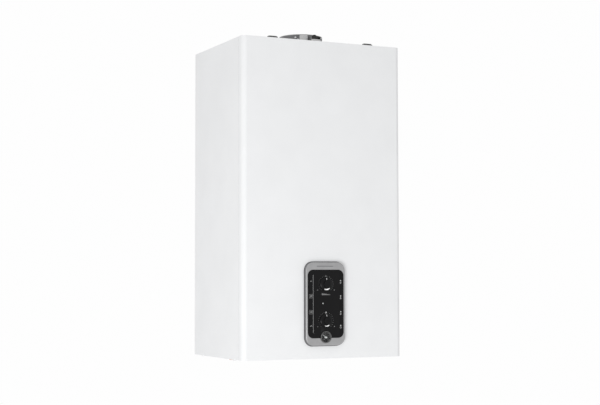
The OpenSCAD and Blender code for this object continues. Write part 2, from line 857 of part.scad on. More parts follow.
// Heat exchanger: five finned tubes between two headers, with a pipe out at each side
module heat_exchanger() color("peru") {
    y0 = exchanger_y - exchanger_d;
    z0 = exchanger_z - exchanger_h / 2;
    z1 = z0 + exchanger_h;
    tube_x = exchanger_x - header_w;
    ledge_x = chamber_x - sheet_t;
    pitch = 2 * tube_x / (exchanger_fins + 1);
    for (x = [-exchanger_x, tube_x]) block([x, y0, z0], [x + header_w, exchanger_y, z1]);
    for (x = [-ledge_x, exchanger_x])
        block([x, y0, z1 - exchanger_ledge_t], [x + ledge_x - exchanger_x, exchanger_y, z1]);
    for (x = [-exchanger_stub_x, exchanger_x])
        along_x(side_pipe_y, exchanger_z, x, x + exchanger_stub_x - exchanger_x, water_pipe_r);
    for (i = [1 : exchanger_fins]) {
        x = -tube_x + i * pitch - fin_t / 2;
        block([x, y0 + fin_in, z0 + fin_in], [x + fin_t, exchanger_y - fin_in, z1 - fin_in]);
    }
    for (i = [-2 : 2]) along_x(side_pipe_y + i * tube_pitch, exchanger_z, -tube_x, tube_x, tube_r);
}

// Flue hood: a low box over the exchanger, with a duct up its back to the fan's inlet
module flue_hood() color("lightgray")
    difference() {
        union() {
            block([-chamber_x, chamber_front_y, chamber_top_z], [chamber_x, chamber_back_y, hood_top_z]);
            block([fan_x - duct_half_w, scroll_back_y, hood_top_z],
                [fan_x + duct_half_w, duct_back_y, fan_z + duct_half_w]);
        }
        block([-chamber_x + sheet_t, chamber_front_y + sheet_t, chamber_top_z - past],
            [chamber_x - sheet_t, chamber_back_y - sheet_t, hood_top_z - sheet_t]);
        block([fan_x - duct_half_w + sheet_t, scroll_back_y + sheet_t, hood_top_z - 2 * sheet_t],
            [fan_x + duct_half_w - sheet_t, duct_back_y - sheet_t, fan_z + duct_half_w - sheet_t]);
        along_y(fan_x, fan_z, scroll_back_y - past, scroll_back_y + 2 * sheet_t, inlet_r);
    }

// Outline of the fan's scroll, drawn in by an inset
module scroll_outline(inset) {
    translate([fan_x, fan_z]) circle(scroll_r - inset);
    translate([fan_x - scroll_r + inset, fan_z])
        square([2 * (spigot_r - inset), scroll_top_z - fan_z - inset]);
}

// Fan housing: a scroll with its inlet at the back and a round spigot up to the flue
module fan_housing() color("silver")
    difference() {
        union() {
            front_plate(scroll_y, scroll_back_y) scroll_outline(0);
            post(0, flue_y, scroll_top_z, spigot_top_z, spigot_r);
        }
        front_plate(scroll_y + scroll_t, scroll_back_y - scroll_t) scroll_outline(scroll_t);
        post(0, flue_y, scroll_top_z - 2 * scroll_t, spigot_top_z + past, spigot_r - scroll_t);
        along_y(fan_x, fan_z, scroll_back_y - 2 * scroll_t, scroll_back_y + past, inlet_r);
        along_y(fan_x, fan_z, scroll_y - past, scroll_y + 2 * scroll_t, shaft_r + loose);
    }

// Fan motor: a drum on the scroll's front, bored for the shaft
module fan_motor() color("dimgray")
    difference() {
        union() {
            along_y(fan_x, fan_z, scroll_y - motor_plate_t, scroll_y, motor_r);
            along_y(fan_x, fan_z, scroll_y - motor_l, scroll_y - motor_plate_t, motor_drum_r);
        }
        along_y(fan_x, fan_z, scroll_y - motor_l + motor_end, scroll_y + past, shaft_r + fit);
    }

// Fan wheel: a back plate with blades and a rim, on its shaft
module fan_wheel() color("gray") {
    y0 = scroll_y + scroll_t + wheel_gap;
    y1 = scroll_back_y - scroll_t - wheel_gap;
    along_y(fan_x, fan_z, y0, y0 + wheel_t, wheel_r);
    along_y(fan_x, fan_z, scroll_y - motor_l + motor_end + loose, y0 + wheel_hub, shaft_r);
    difference() {
        along_y(fan_x, fan_z, y1 - wheel_t, y1, wheel_r);
        along_y(fan_x, fan_z, y1 - wheel_t - past, y1 + past, inlet_r);
    }
    for (i = [0 : fan_blades - 1])
        translate([fan_x, 0, fan_z]) rotate([0, i * 360 / fan_blades, 0])
            block([inlet_r + 1, y0 + wheel_t / 2, -fan_blade_t / 2],
                [wheel_r - 1, y1 - wheel_t / 2, fan_blade_t / 2]);
}

// Air pressure switch: a flat drum on a foot, with two hose ports
module air_pressure_switch() color("whitesmoke") {
    z = hood_top_z + switch_r + switch_up;
    front_y = flue_y - switch_t / 2;
    along_y(switch_x, z, front_y, flue_y + switch_t / 2, switch_r);
    block([switch_x - switch_foot_w / 2, flue_y - switch_foot_d / 2, hood_top_z],
        [switch_x + switch_foot_w / 2, flue_y + switch_foot_d / 2, z - switch_r / 2]);
    for (x = [-switch_port_x, switch_port_x])
        along_y(switch_x + x, z, front_y - switch_port_l, front_y, switch_port_r);
}

// Expansion vessel: a flat drum with a rim and a water port underneath
module expansion_vessel() color("firebrick") {
    along_y(0, vessel_z, vessel_y, frame_y, vessel_r - vessel_step);
    along_y(0, vessel_z, vessel_y + vessel_shoulder, frame_y - vessel_shoulder, vessel_r - vessel_rim);
    along_y(0, vessel_z, vessel_mid_y - vessel_rim_t / 2, vessel_mid_y + vessel_rim_t / 2, vessel_r);
    post(0, vessel_mid_y, vessel_port_z, vessel_port_z + 2 * vessel_port_h, vessel_port_r);
}

// Water pipes: flow, return and the vessel's pipe
module water_pipes() color("peru") {
    x = side_pipe_x;
    pipe_run([[-exchanger_stub_x, side_pipe_y, exchanger_z], [-x, side_pipe_y, exchanger_z],
        [-x, side_pipe_y, crossing_z], [-x, tail_y, crossing_z], [flow_pipe_x, tail_y, crossing_z],
        [flow_pipe_x, tail_y, block_top_z]], water_pipe_r);
    pipe_run([[exchanger_stub_x, side_pipe_y, exchanger_z], [x, side_pipe_y, exchanger_z],
        [x, side_pipe_y, crossing_z], [x, tail_y, crossing_z], [x, tail_y, pump_z],
        [pump_x + pump_r, tail_y, pump_z]], water_pipe_r);
    pipe_run([[0, vessel_mid_y, vessel_port_z], [0, vessel_mid_y, crossing_z],
        [vessel_pipe_x, vessel_mid_y, crossing_z], [vessel_pipe_x, vessel_mid_y, vessel_pipe_z],
        [vessel_pipe_x, block_front_y + block_d, vessel_pipe_z]], vessel_pipe_r);
}

// Gas pipe from the gas valve up to the manifold
module gas_pipe() color("goldenrod")
    pipe_run([[0, tail_y, valve_z + valve_h], [0, tail_y, gas_pipe_z], [0, manifold_y, gas_pipe_z],
        [0, manifold_y, gas_pipe_z + gas_pipe_r + fitting_t]], gas_pipe_r);

// Body of a water block from one side to the other, standing on two feet
module water_block(x0, x1) {
    y1 = block_front_y + block_d;
    block([x0, block_front_y, block_z], [x1, y1, block_top_z]);
    for (x = [x0, x1 - block_foot], y = [block_front_y, y1 - block_foot])
        block([x, y, base_z + sheet_t], [x + block_foot, y + block_foot, block_z]);
}

// Flow block: the left water block, with the chamber of the diverter valve
module flow_block() color("tan")
    difference() {
        water_block(-block_out_x, -block_in_x);
        post(diverter_x, tail_y, diverter_seat_z, block_top_z - diverter_roof, spindle_disc_r + 2);
        post(diverter_x, tail_y, diverter_seat_z, block_top_z + past, spindle_r + fit);
    }

// Return block: the right water block, with ports for the relief valve and the filling valve
module return_block() color("tan")
    difference() {
        union() {
            water_block(block_in_x, block_out_x);
            post(pump_x, tail_y, block_top_z, block_top_z + pump_seat_t, pump_seat_r);
        }
        along_y(filling_x, block_port_z, block_front_y - past, block_front_y + filling_bore,
            spindle_r + fit);
    }

// Plate heat exchanger: a pack of plates between two end plates
module plate_heat_exchanger() color("silver") {
    last = phe_plates - 1;
    for (i = [0 : last]) {
        inset = i == 0 || i == last ? 0 : 2 * (i % 2);
        y1 = block_front_y - i * phe_pitch;
        front_plate(y1 - phe_pitch, y1)
            translate([0, block_port_z]) round_rect(phe_w - inset, phe_h - inset, phe_r);
    }
}

// Pump body: a drum on a neck, hollow for its wheel
module pump_body() color("dimgray")
    difference() {
        union() {
            along_y(pump_x, pump_z, pump_y, pump_y + pump_d, pump_r);
            post(pump_x, tail_y, block_top_z + pump_seat_t, pump_z - pump_r + pump_wall, pump_neck_r);
            post(pump_x, tail_y, pump_z + pump_r - pump_wall, pump_z + pump_r + pump_wall, pump_vent_r);
        }
        along_y(pump_x, pump_z, pump_y + pump_wall, pump_y + pump_d - pump_wall, pump_wheel_r + 6);
        along_y(pump_x, pump_z, pump_y - past, pump_y + pump_wall + past, shaft_r + loose);
    }

// Pump motor: a drum on the pump's front with a terminal box, bored for the shaft
module pump_motor() color("steelblue")
    difference() {
        union() {
            along_y(pump_x, pump_z, pump_y - pump_motor_l, pump_y, pump_motor_r);
            block([pump_x - pump_motor_r - pump_terminal_w / 2, pump_y - pump_motor_l + pump_terminal_in,
                pump_z - pump_terminal_h / 2],
                [pump_x - pump_motor_r + pump_terminal_w / 2, pump_y - pump_terminal_in,
                pump_z + pump_terminal_h / 2]);
        }
        along_y(pump_x, pump_z, pump_y - pump_shaft_in, pump_y + past, shaft_r + fit);
    }

// Pump wheel: two discs with blades between them, on its shaft
module pump_wheel() color("whitesmoke") {
    y0 = pump_y + pump_wheel_gap;
    y1 = pump_y + pump_d - pump_wheel_gap;
    along_y(pump_x, pump_z, pump_y - pump_shaft_in + loose, y1, shaft_r);
    for (y = [y0, y1 - pump_disc_t]) along_y(pump_x, pump_z, y, y + pump_disc_t, pump_wheel_r);
    for (a = [0 : 60 : 300])
        translate([pump_x, 0, pump_z]) rotate([0, a, 0])
            block([shaft_r - 1, y0 + pump_disc_t / 2, -pump_blade_t / 2],
                [pump_wheel_r - 2, y1 - pump_disc_t / 2, pump_blade_t / 2]);
}

// Air vent: a float bottle with a cap on the pump
module air_vent() color("goldenrod") {
    z = pump_z + pump_r + pump_wall;
    post(pump_x, tail_y, z, z + vent_h - vent_cap_h, vent_r);
    post(pump_x, tail_y, z + vent_h - vent_cap_h, z + vent_h, vent_r / 2);
}

// Relief valve: a body on the return block's side, with an outlet down through the plate
module relief_valve() color("goldenrod")
    difference() {
        union() {
            along_x(relief_y, block_port_z, block_out_x, relief_x + relief_l, relief_r);
            post(relief_x, relief_y, tail_z, base_z - sheet_t, relief_out_r);
            post(relief_x, relief_y, base_z - sheet_t, block_port_z, relief_out_r + relief_step);
        }
        along_x(relief_y, block_port_z, relief_x - relief_l / 2, relief_x + relief_l + past,
            spindle_r + fit);
        post(relief_x, relief_y, tail_z - past, block_port_z - relief_r, relief_out_r - tail_wall);
    }

// Fluted knob about its own upright axis, with a stem below it
module fluted_knob(h, stem) {
    difference() {
        cylinder(h = h, r = relief_knob_r);
        for (a = [0 : 45 : 315])
            rotate([0, 0, a]) translate([relief_knob_r + flute_r / 2, 0, flute_z])
                cylinder(h = h, r = flute_r);
    }
    translate([0, 0, -stem]) cylinder(h = stem, r = spindle_r);
}

// Knob of the relief valve
module relief_knob() color("red")
    translate([relief_x + relief_l + loose, relief_y, block_port_z]) rotate([0, 90, 0])
        fluted_knob(relief_knob_l, relief_stem);

// Knob of the filling valve
module filling_knob() color("black")
    translate([filling_x, block_front_y - filling_gap, block_port_z]) rotate([90, 0, 0])
        fluted_knob(filling_l, filling_stem);

// Motor of the diverter valve, on the flow block
module diverter_motor() color("dimgray")
    difference() {
        block([diverter_x - diverter_w / 2, tail_y - diverter_d / 2, block_top_z],
            [diverter_x + diverter_w / 2, tail_y + diverter_d / 2, block_top_z + diverter_h]);
        post(diverter_x, tail_y, block_top_z - past, block_top_z + diverter_bore_h, spindle_r + fit);
    }

// Spindle of the diverter valve, with its closing disc
module diverter_spindle() color("silver") {
    disc_z = block_top_z - spindle_disc_drop;
    post(diverter_x, tail_y, disc_z - spindle_disc_t, block_top_z + spindle_rise, spindle_r);
    post(diverter_x, tail_y, disc_z - spindle_disc_t, disc_z, spindle_disc_r);
}

// Gas valve: a block on the gas connection with two coils at its front
module gas_valve() color("lightgray") {
    coil_x = valve_w / 2 - coil_r - coil_edge;
    block([-valve_w / 2, valve_front_y, valve_z], [valve_w / 2, valve_front_y + valve_d, valve_z + valve_h]);
    for (x = [-coil_x, coil_x])
        along_y(x, valve_z + valve_h - coil_r - coil_drop, valve_front_y - coil_l, valve_front_y, coil_r);
}

// Pipe connections: flow, hot water, gas, cold water and return
module pipe_tails() color("peru")
    for (i = [0 : 4]) {
        x = (i - 2) * pipe_pitch;
        top = i == 2 ? valve_z : block_z;
        difference() {
            union() {
                post(x, tail_y, tail_z, base_z + tail_step, tail_radii[i]);
                post(x, tail_y, base_z + tail_step, top, tail_radii[i] + tail_wall);
            }
            post(x, tail_y, tail_z - past, top + past, tail_radii[i] - tail_wall);
        }
    }

// Six-sided nuts of the connections
module pipe_nuts() color("goldenrod")
    for (i = [0 : 4]) {
        top = i == 2 ? valve_z : block_z;
        translate([(i - 2) * pipe_pitch, tail_y, top - nut_h]) difference() {
            cylinder(h = nut_h, r = nut_r - past, $fn = 6);
            translate([0, 0, -past]) cylinder(h = nut_h + 2 * past, r = tail_radii[i] + tail_wall);
        }
    }

// Inside outline of the panel housing
module panel_window() {
    translate([0, panel_z]) round_rect(panel_w - 2 * panel_t, panel_h - 2 * panel_t, panel_r - panel_t);
}

// Outline of the fascia, drawn in by an inset
module fascia_outline(inset) {
    translate([0, fascia_z]) round_rect(fascia_w - 2 * inset, fascia_h - 2 * inset, fascia_r - inset);
}

// Control box: a closed tray with a window for the panel
module control_box() color("dimgray") {
    difference() {
        block([-box_w / 2, box_front_y, box_z], [box_w / 2, box_back_y, box_z + box_h]);
        block([-box_w / 2 + box_t, box_front_y + box_t, box_z + box_t],
            [box_w / 2 - box_t, box_back_y - box_t, box_z + box_h - box_t]);
        front_plate(box_front_y - past, box_front_y + 2 * box_t) panel_window();
    }
    for (x = [-box_post_x, box_post_x], z = [box_z + 2 * board_edge, box_z + box_h - 2 * board_edge])
        along_y(x, z, box_back_y - box_t - box_post, box_back_y - box_t, box_post_r);
}

// Power board on the box's posts, with its transformer, relays and terminal row
module power_board() color("darkgreen") {
    back_y = box_back_y - box_t - box_post;
    y = back_y - display_t;
    z = box_z + board_edge;
    x0 = -board_w / 2 + board_edge;
    x1 = board_w / 2 - 5 * board_edge;
    block([-board_w / 2, y, z], [board_w / 2, back_y, box_z + box_h - board_edge]);
    translate([x1, y - transformer.y, z + board_edge]) cube(transformer);
    for (i = [0 : 3]) translate([x1 + i * relay_pitch, y - relay.y, z + 6 * board_edge]) cube(relay);
    translate([x0, y - terminal_row.y, z + board_edge / 2]) cube(terminal_row);
    for (i = [1 : 2])
        along_y(x0 + i * capacitor_pitch, z + 9 * board_edge, y - capacitor_l, y, capacitor_r);
}

// Panel housing: a shell with a recess and a window for the fascia and a notch for the gauge
module panel_housing() color("silver")
    difference() {
        front_plate(panel_face_y, box_front_y) translate([0, panel_z]) round_rect(panel_w, panel_h, panel_r);
        front_plate(fascia_back_y + ledge_t, box_front_y + past) panel_window();
        front_plate(panel_face_y - past, fascia_back_y) fascia_outline(-fit / 2);
        front_plate(fascia_back_y - past, fascia_back_y + ledge_t + past) fascia_outline(ledge_w);
        along_y(0, gauge_z, panel_face_y - past, box_front_y, gauge_r + fit);
    }

// Fascia: a plate with holes for the knobs, buttons, lights and gauge, and posts for its board
module fascia() color("black") {
    difference() {
        front_plate(fascia_y, fascia_back_y) fascia_outline(0);
        for (z = knob_z) along_y(0, z, fascia_y - past, fascia_back_y + past, knob_shaft_r + loose);
        for (z = icon_z) {
            along_y(-icon_x, z, fascia_y - past, fascia_back_y + past, button_r + fit);
            along_y(icon_x, z, fascia_y - past, fascia_back_y + past, light_r);
        }
        along_y(status_light[0], status_light[1], fascia_y - past, fascia_back_y + past, light_r);
        along_y(0, gauge_z, fascia_y - past, fascia_back_y + past, gauge_r + fit);
    }
    for (x = [-display_post_x, display_post_x], z = [display_z[0] + 8, display_z[1] - 8])
        along_y(x, z, fascia_back_y, display_y, display_post_r);
}

// Display board behind the fascia, with the knobs' selectors and the buttons' switches
module display_board() color("darkgreen")
    difference() {
        union() {
            block([-display_w / 2, display_y, display_z[0]],
                [display_w / 2, display_y + display_t, display_z[1]]);
            for (z = knob_z)
                block([-selector_w / 2, display_y - selector_h, z - selector_w / 2],
                    [selector_w / 2, display_y, z + selector_w / 2]);
            for (z = icon_z)
                block([-icon_x - switch_w / 2, display_y - switch_h, z - switch_w / 2],
                    [-icon_x + switch_w / 2, display_y, z + switch_w / 2]);
        }
        for (z = knob_z)
            along_y(0, z, display_y - selector_h - past, display_y - selector_back, knob_shaft_r + fit);
    }

// Knob: a round skirt with a raised grip bar and a shaft
module knob(z) {
    along_y(0, z, fascia_y - knob_skirt, fascia_y - loose, knob_r);
    along_y(0, z, fascia_y - knob_h, fascia_y - knob_skirt, knob_grip_r);
    along_y(0, z, fascia_y - loose, display_y - selector_back - loose, knob_shaft_r);
}

module heating_knob() color("black") knob(knob_z[0]);

module hot_water_knob() color("black") knob(knob_z[1]);

// Push button: a round cap with a flange behind the fascia and a stem to its switch
module push_button(z) {
    y = fascia_back_y + loose;
    along_y(-icon_x, z, fascia_y - button_proud, y, button_r);
    along_y(-icon_x, z, y, y + button_flange, button_r + button_lip);
    along_y(-icon_x, z, y + button_flange, display_y - switch_h - button_travel - loose, button_stem_r);
}

module power_button() color("black") push_button(icon_z[0]);

module reset_button() color("black") push_button(icon_z[1]);

module mode_button() color("black") push_button(icon_z[2]);

module comfort_button() color("black") push_button(icon_z[3]);

// Indicator lights: light rods from the board to the fascia's front
module indicator_lights() color("white") {
    for (z = icon_z) along_y(icon_x, z, fascia_y - light_proud, display_y, light_r);
    along_y(status_light[0], status_light[1], fascia_y - light_proud, display_y, light_r);
}

// Case of the pressure gauge: a cup with a rim for its lens and a bearing for the needle
module gauge_case() color("gray")
    difference() {
        along_y(0, gauge_z, gauge_y, gauge_back_y, gauge_r);
        along_y(0, gauge_z, gauge_y - past, gauge_lens_y + gauge_lens_t, gauge_r - gauge_wall + fit);
        along_y(0, gauge_z, gauge_y, gauge_y + gauge_deep, gauge_r - gauge_wall - gauge_seat);
        along_y(0, gauge_z, gauge_y + gauge_deep - past, gauge_y + gauge_deep + needle_shaft_l,
            needle_shaft_r + fit);
    }

// Needle of the gauge, on its shaft
module gauge_needle() color("white") {
    y0 = gauge_y + gauge_deep - 2;
    along_y(0, gauge_z, y0, y0 + needle_boss_t, needle_boss_r);
    along_y(0, gauge_z, y0, gauge_y + gauge_deep + needle_shaft_l - loose, needle_shaft_r);
    translate([0, 0, gauge_z]) rotate([0, -needle_rest, 0])
        block([-needle_w / 2, y0, -needle_tail], [needle_w / 2, y0 + needle_t, needle_l]);
}

// Lens of the gauge
module gauge_lens() color("white", 0.3)
    along_y(0, gauge_z, gauge_lens_y, gauge_lens_y + gauge_lens_t, gauge_r - gauge_wall);

// Gland for the mains cable in the bottom plate
module cable_gland() color("black")
    difference() {
        union() {
            post(gland_x, gland_y, base_z - gland_below, base_z, gland_r);
            post(gland_x, gland_y, base_z, base_z + gland_above, gland_neck_r);
            post(gland_x, gland_y, base_z + sheet_t, base_z + sheet_t + gland_nut_h, gland_r);
        }
        post(gland_x, gland_y, base_z - gland_below - past, base_z + gland_above + past, gland_bore_r);
    }

wall_bracket();
rear_frame();
left_side_panel();
right_side_panel();
top_panel();
bottom_plate();
cover_hooks();
front_cover();
cover_screws();
casing_screws();
flue_collar();
collar_seal();
sampling_caps();
air_inlet_covers();
chamber_box();
chamber_cover();
chamber_insulation();
burner();
gas_manifold();
electrodes();
heat_exchanger();
flue_hood();
fan_housing();
fan_motor();
fan_wheel();
air_pressure_switch();
expansion_vessel();
water_pipes();
gas_pipe();
flow_block();
return_block();
plate_heat_exchanger();
pump_body();
pump_motor();
pump_wheel();
air_vent();
relief_valve();
relief_knob();
filling_knob();
diverter_motor();
diverter_spindle();
gas_valve();
pipe_tails();
pipe_nuts();
control_box();
power_board();
display_board();
panel_housing();
fascia();
heating_knob();
hot_water_knob();
power_button();
reset_button();
mode_button();
comfort_button();
indicator_lights();
gauge_case();
gauge_needle();
gauge_lens();
cable_gland();
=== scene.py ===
# Wall-hung boiler: finishes, detailed front pieces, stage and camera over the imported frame
import json
import math

import bmesh
import bpy
from bpy.props import FloatProperty, FloatVectorProperty, IntProperty, PointerProperty
from bpy.types import Operator, Panel, PropertyGroup
from mathutils import Matrix, Vector

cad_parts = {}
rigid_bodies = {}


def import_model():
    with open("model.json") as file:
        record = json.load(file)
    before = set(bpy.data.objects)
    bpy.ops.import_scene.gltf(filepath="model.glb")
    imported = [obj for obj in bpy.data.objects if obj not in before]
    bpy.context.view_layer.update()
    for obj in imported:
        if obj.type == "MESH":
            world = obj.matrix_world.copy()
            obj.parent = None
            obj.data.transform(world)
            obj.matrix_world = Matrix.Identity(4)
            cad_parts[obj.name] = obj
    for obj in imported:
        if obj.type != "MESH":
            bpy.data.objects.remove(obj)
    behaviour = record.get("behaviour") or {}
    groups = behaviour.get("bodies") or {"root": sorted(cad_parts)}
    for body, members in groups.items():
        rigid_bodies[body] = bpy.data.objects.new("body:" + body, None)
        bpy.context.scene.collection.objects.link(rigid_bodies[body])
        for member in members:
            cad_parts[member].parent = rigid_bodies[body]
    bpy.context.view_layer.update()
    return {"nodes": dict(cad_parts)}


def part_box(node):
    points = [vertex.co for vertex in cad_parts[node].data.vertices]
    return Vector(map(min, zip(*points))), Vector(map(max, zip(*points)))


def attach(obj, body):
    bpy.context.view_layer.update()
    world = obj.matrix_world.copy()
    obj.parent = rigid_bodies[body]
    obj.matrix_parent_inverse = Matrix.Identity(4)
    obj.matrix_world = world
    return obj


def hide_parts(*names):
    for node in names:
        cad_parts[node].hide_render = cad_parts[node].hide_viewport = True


bl_info = {
    "name": "Wall-hung boiler",
    "version": (1, 0, 0),
    "blender": (4, 5, 0),
    "location": "3D View > Sidebar > Boiler",
    "description": "Dresses the packed boiler in its finishes and builds its detailed front pieces",
    "category": "Object",
}

for leftover in list(bpy.data.objects):
    bpy.data.objects.remove(leftover)
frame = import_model()
MM = 0.001

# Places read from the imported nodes
FASCIA_LOW, FASCIA_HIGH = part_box("fascia")
HOUSING_LOW, HOUSING_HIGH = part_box("panel_housing")
GAUGE_LOW, GAUGE_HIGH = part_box("gauge_case")
GAUGE_RADIUS = (GAUGE_HIGH.x - GAUGE_LOW.x) / 2
GAUGE_CENTRE = ((GAUGE_LOW.x + GAUGE_HIGH.x) / 2, (GAUGE_LOW.z + GAUGE_HIGH.z) / 2)
COLLAR_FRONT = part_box("flue_collar")[0].y
SEAL_LOW, SEAL_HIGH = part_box("collar_seal")
COLLAR_RADIUS = (SEAL_HIGH.x - SEAL_LOW.x) / 2
COVER_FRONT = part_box("front_cover")[0].y
TAILS_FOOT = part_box("pipe_tails")[0].z
TAIL_Y = sum(corner.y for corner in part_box("pipe_nuts")) / 2

# Turning and pressed nodes of the panel, with the bodies that they ride on
KNOBS = {"heating_knob": "heating_selector", "hot_water_knob": "hot_water_selector"}
KEYS = {"power_button": "power_key", "reset_button": "reset_key",
        "mode_button": "mode_key", "comfort_button": "comfort_key"}

# Control panel: how far prints and the raised field stand proud, and its small round parts
PRINT_RISE = 0.06 * MM
FIELD_RISE = 0.4 * MM
KEY_CAP_RADIUS = 3.6 * MM
LIGHT_RADIUS = 1.5 * MM
KNOB_TURN = 270
# Material slots of the housing: the silver lacquer, and the darker grey of its sides, which is
# partly painted shade.
LACQUER, FLANK_SHADE = 0, 1

# Pipe tails from left to right, by their place across the boiler
SMALL_TAIL, LARGE_TAIL = 10.5 * MM, 13.2 * MM
TAIL_PITCH = 65 * MM
TAILS = {place * TAIL_PITCH: radius for place, radius in
         ((-2, LARGE_TAIL), (-1, SMALL_TAIL), (0, LARGE_TAIL), (1, SMALL_TAIL), (2, LARGE_TAIL))}

# Meshes: angles in degrees, and the smallest lengths that count
FULL_TURN = 2 * math.pi
SHARP_ANGLE, FLAT_ANGLE = 35.0, 0.3
WELD_REACH, POINT_RADIUS = 1e-7, 1e-6

# What all finishes share, and which of the Mix node's sockets are those for colours
COLOUR_MIX_INPUTS, COLOUR_MIX_OUTPUT = (0, 6, 7), 2
# The second grey below is the near black of the painted shade in narrow gaps.
DUST_COLOUR, GAP_SHADE_GREY = (0.62, 0.60, 0.57), 0.01
WEAR_REACH, COAT_ROUGHNESS = 0.6 * MM, 0.08


# Mesh helpers

def middle(node):
    """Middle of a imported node's box."""
    low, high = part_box(node)
    return (low + high) / 2


def round_outline(width, height, radius, steps=10):
    """Points (x, z) of a rectangle with round corners about its centre."""
    points = []
    for number, (sx, sz) in enumerate(((1, 1), (-1, 1), (-1, -1), (1, -1))):
        cx, cz = sx * (width / 2 - radius), sz * (height / 2 - radius)
        for step in range(steps + 1):
            angle = math.radians(90 * number + 90 * step / steps)
            points.append((cx + radius * math.cos(angle), cz + radius * math.sin(angle)))
    return points


def ring_outline(radius, steps=64, start=0.0, end=360.0):
    """Points (x, z) on a circle, clockwise from the top as seen from the front."""
    share = steps if end - start >= 360 else steps - 1
    angles = [math.radians(start + (end - start) * n / share) for n in range(steps)]
    return [(radius * math.sin(a), radius * math.cos(a)) for a in angles]


def loft(bm, loops, material=0, cap_first=False, cap_last=False, closed=True):
    """Joins loops of points with the same count by four-sided faces."""
    rows = [[bm.verts.new(point) for point in loop] for loop in loops]
    count = len(rows[0])
    for low, high in zip(rows, rows[1:]):
        for n in range(count if closed else count - 1):
            m = (n + 1) % count
            face = bm.faces.new((low[n], low[m], high[m], high[n]))
            face.material_index = material
    for wanted, row in ((cap_first, rows[0]), (cap_last, rows[-1])):
        if wanted:
            bm.faces.new(row).material_index = material


def plate(bm, outline, centre, front, back, edge=0.0):
    """Plate between two depths, its outline about a centre, with its front edge eased."""
    cx, cz = centre
    loops = [[(cx + x, back, cz + z) for x, z in outline]]
    if edge:
        size = max(max(abs(x), abs(z)) for x, z in outline)
        for turn in (0, 30, 60, 90):
            drop = edge * (1 - math.sin(math.radians(turn)))
            inward = 1 - edge * (1 - math.cos(math.radians(turn))) / size
            loops.append([(cx + x * inward, front + drop, cz + z * inward) for x, z in outline])
    else:
        loops.append([(cx + x, front, cz + z) for x, z in outline])
    loft(bm, loops, cap_first=True, cap_last=True)


def lathe(bm, profile, centre, steps=72, ripple=None):
    """Turns (radius, depth) pairs about a line from front to back through a centre."""
    cx, cz = centre
    loops = []
    for number, (radius, depth) in enumerate(profile):
        loop = []
        for n in range(steps):
            angle = FULL_TURN * n / steps
            r = max(radius, POINT_RADIUS) + (ripple(number, angle) if ripple else 0.0)
            loop.append((cx + r * math.sin(angle), depth, cz + r * math.cos(angle)))
        loops.append(loop)
    loft(bm, loops, cap_first=True, cap_last=True)


def link_object(name, data):
    """New object of the scene around its mesh, text, lamp or camera."""
    made = bpy.data.objects.new(name, data)
    bpy.context.scene.collection.objects.link(made)
    return made


def close_mesh(name, bm):
    """Named mesh from a finished bmesh."""
    mesh = bpy.data.meshes.new(name)
    bm.to_mesh(mesh)
    bm.free()
    return mesh


def add_piece(name, bm, materials, body, smooth=True):
    """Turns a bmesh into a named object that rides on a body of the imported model."""
    bmesh.ops.remove_doubles(bm, verts=bm.verts, dist=WELD_REACH)
    bmesh.ops.recalc_face_normals(bm, faces=bm.faces)
    mesh = close_mesh(name, bm)
    for material in materials:
        mesh.materials.append(bpy.data.materials[material])
    piece = link_object(name, mesh)
    if smooth:
        mesh.shade_smooth()
        mesh.set_sharp_from_angle(angle=math.radians(SHARP_ANGLE))
    else:
        mesh.shade_flat()
    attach(piece, body)
    return piece


def add_plate(name, material, outline, centre, front, back, edge=0.0, smooth=True):
    """Piece of the casing that is a single plate."""
    bm = bmesh.new()
    plate(bm, outline, centre, front, back, edge)
    add_piece(name, bm, [material], "casing", smooth)


def round_edges(piece, width):
    """Eases the edges of a piece without touching its mesh."""
    weld = piece.modifiers.new("Joined faces", "WELD")
    weld.merge_threshold = 0.01 * MM
    flat = piece.modifiers.new("Whole flat faces", "DECIMATE")
    flat.decimate_type = "DISSOLVE"
    flat.angle_limit = math.radians(FLAT_ANGLE)
    bevel = piece.modifiers.new("Eased edges", "BEVEL")
    bevel.limit_method = "ANGLE"
    bevel.angle_limit = math.radians(SHARP_ANGLE)
    bevel.width = width
    bevel.segments = 3
    bevel.use_clamp_overlap = True
    normals = piece.modifiers.new("Even shading", "WEIGHTED_NORMAL")
    normals.keep_sharp = False
    normals.weight = 80


# Shader node helpers

def new_group(name, inputs, outputs):
    """Node group with named inputs, numbers or vectors by their defaults, and number outputs."""
    group = bpy.data.node_groups.new(name, "ShaderNodeTree")
    for label, default in inputs.items():
        kind = "NodeSocketVector" if isinstance(default, tuple) else "NodeSocketFloat"
        socket = group.interface.new_socket(label, in_out="INPUT", socket_type=kind)
        socket.default_value = default
    for label in outputs:
        group.interface.new_socket(label, in_out="OUTPUT", socket_type="NodeSocketFloat")
    return group, group.nodes.new("NodeGroupInput"), group.nodes.new("NodeGroupOutput")


def feed(tree, socket, value):
    """Links a socket to another node's output, or sets its value."""
    if isinstance(value, bpy.types.NodeSocket):
        tree.links.new(value, socket)
    else:
        socket.default_value = value


def put(tree, kind, **inputs):
    """Adds a node and sets its inputs, by value or by a link from another node's output."""
    node = tree.nodes.new(kind)
    for label, value in inputs.items():
        place = int(label[1:]) if label[0] == "_" else label.replace("_", " ")
        feed(tree, node.inputs[place], value)
    return node


def calc(tree, operation, first, second=0.0, clamp=False):
    """Math node with two operands."""
    node = put(tree, "ShaderNodeMath", _0=first, _1=second)
    node.operation = operation
    node.use_clamp = clamp
    return node.outputs[0]


def remap(tree, value, low, high, new_low=0.0, new_high=1.0):
    """Maps a value from one range to another, clamped."""
    node = put(tree, "ShaderNodeMapRange", Value=value, From_Min=low, From_Max=high,
               To_Min=new_low, To_Max=new_high)
    return node.outputs[0]


def blend_colours(tree, share, first, second):
    """Mixes two colours."""
    node = tree.nodes.new("ShaderNodeMix")
    node.data_type = "RGBA"
    for number, value in zip(COLOUR_MIX_INPUTS, (share, first, second)):
        feed(tree, node.inputs[number], value)
    return node.outputs[COLOUR_MIX_OUTPUT]


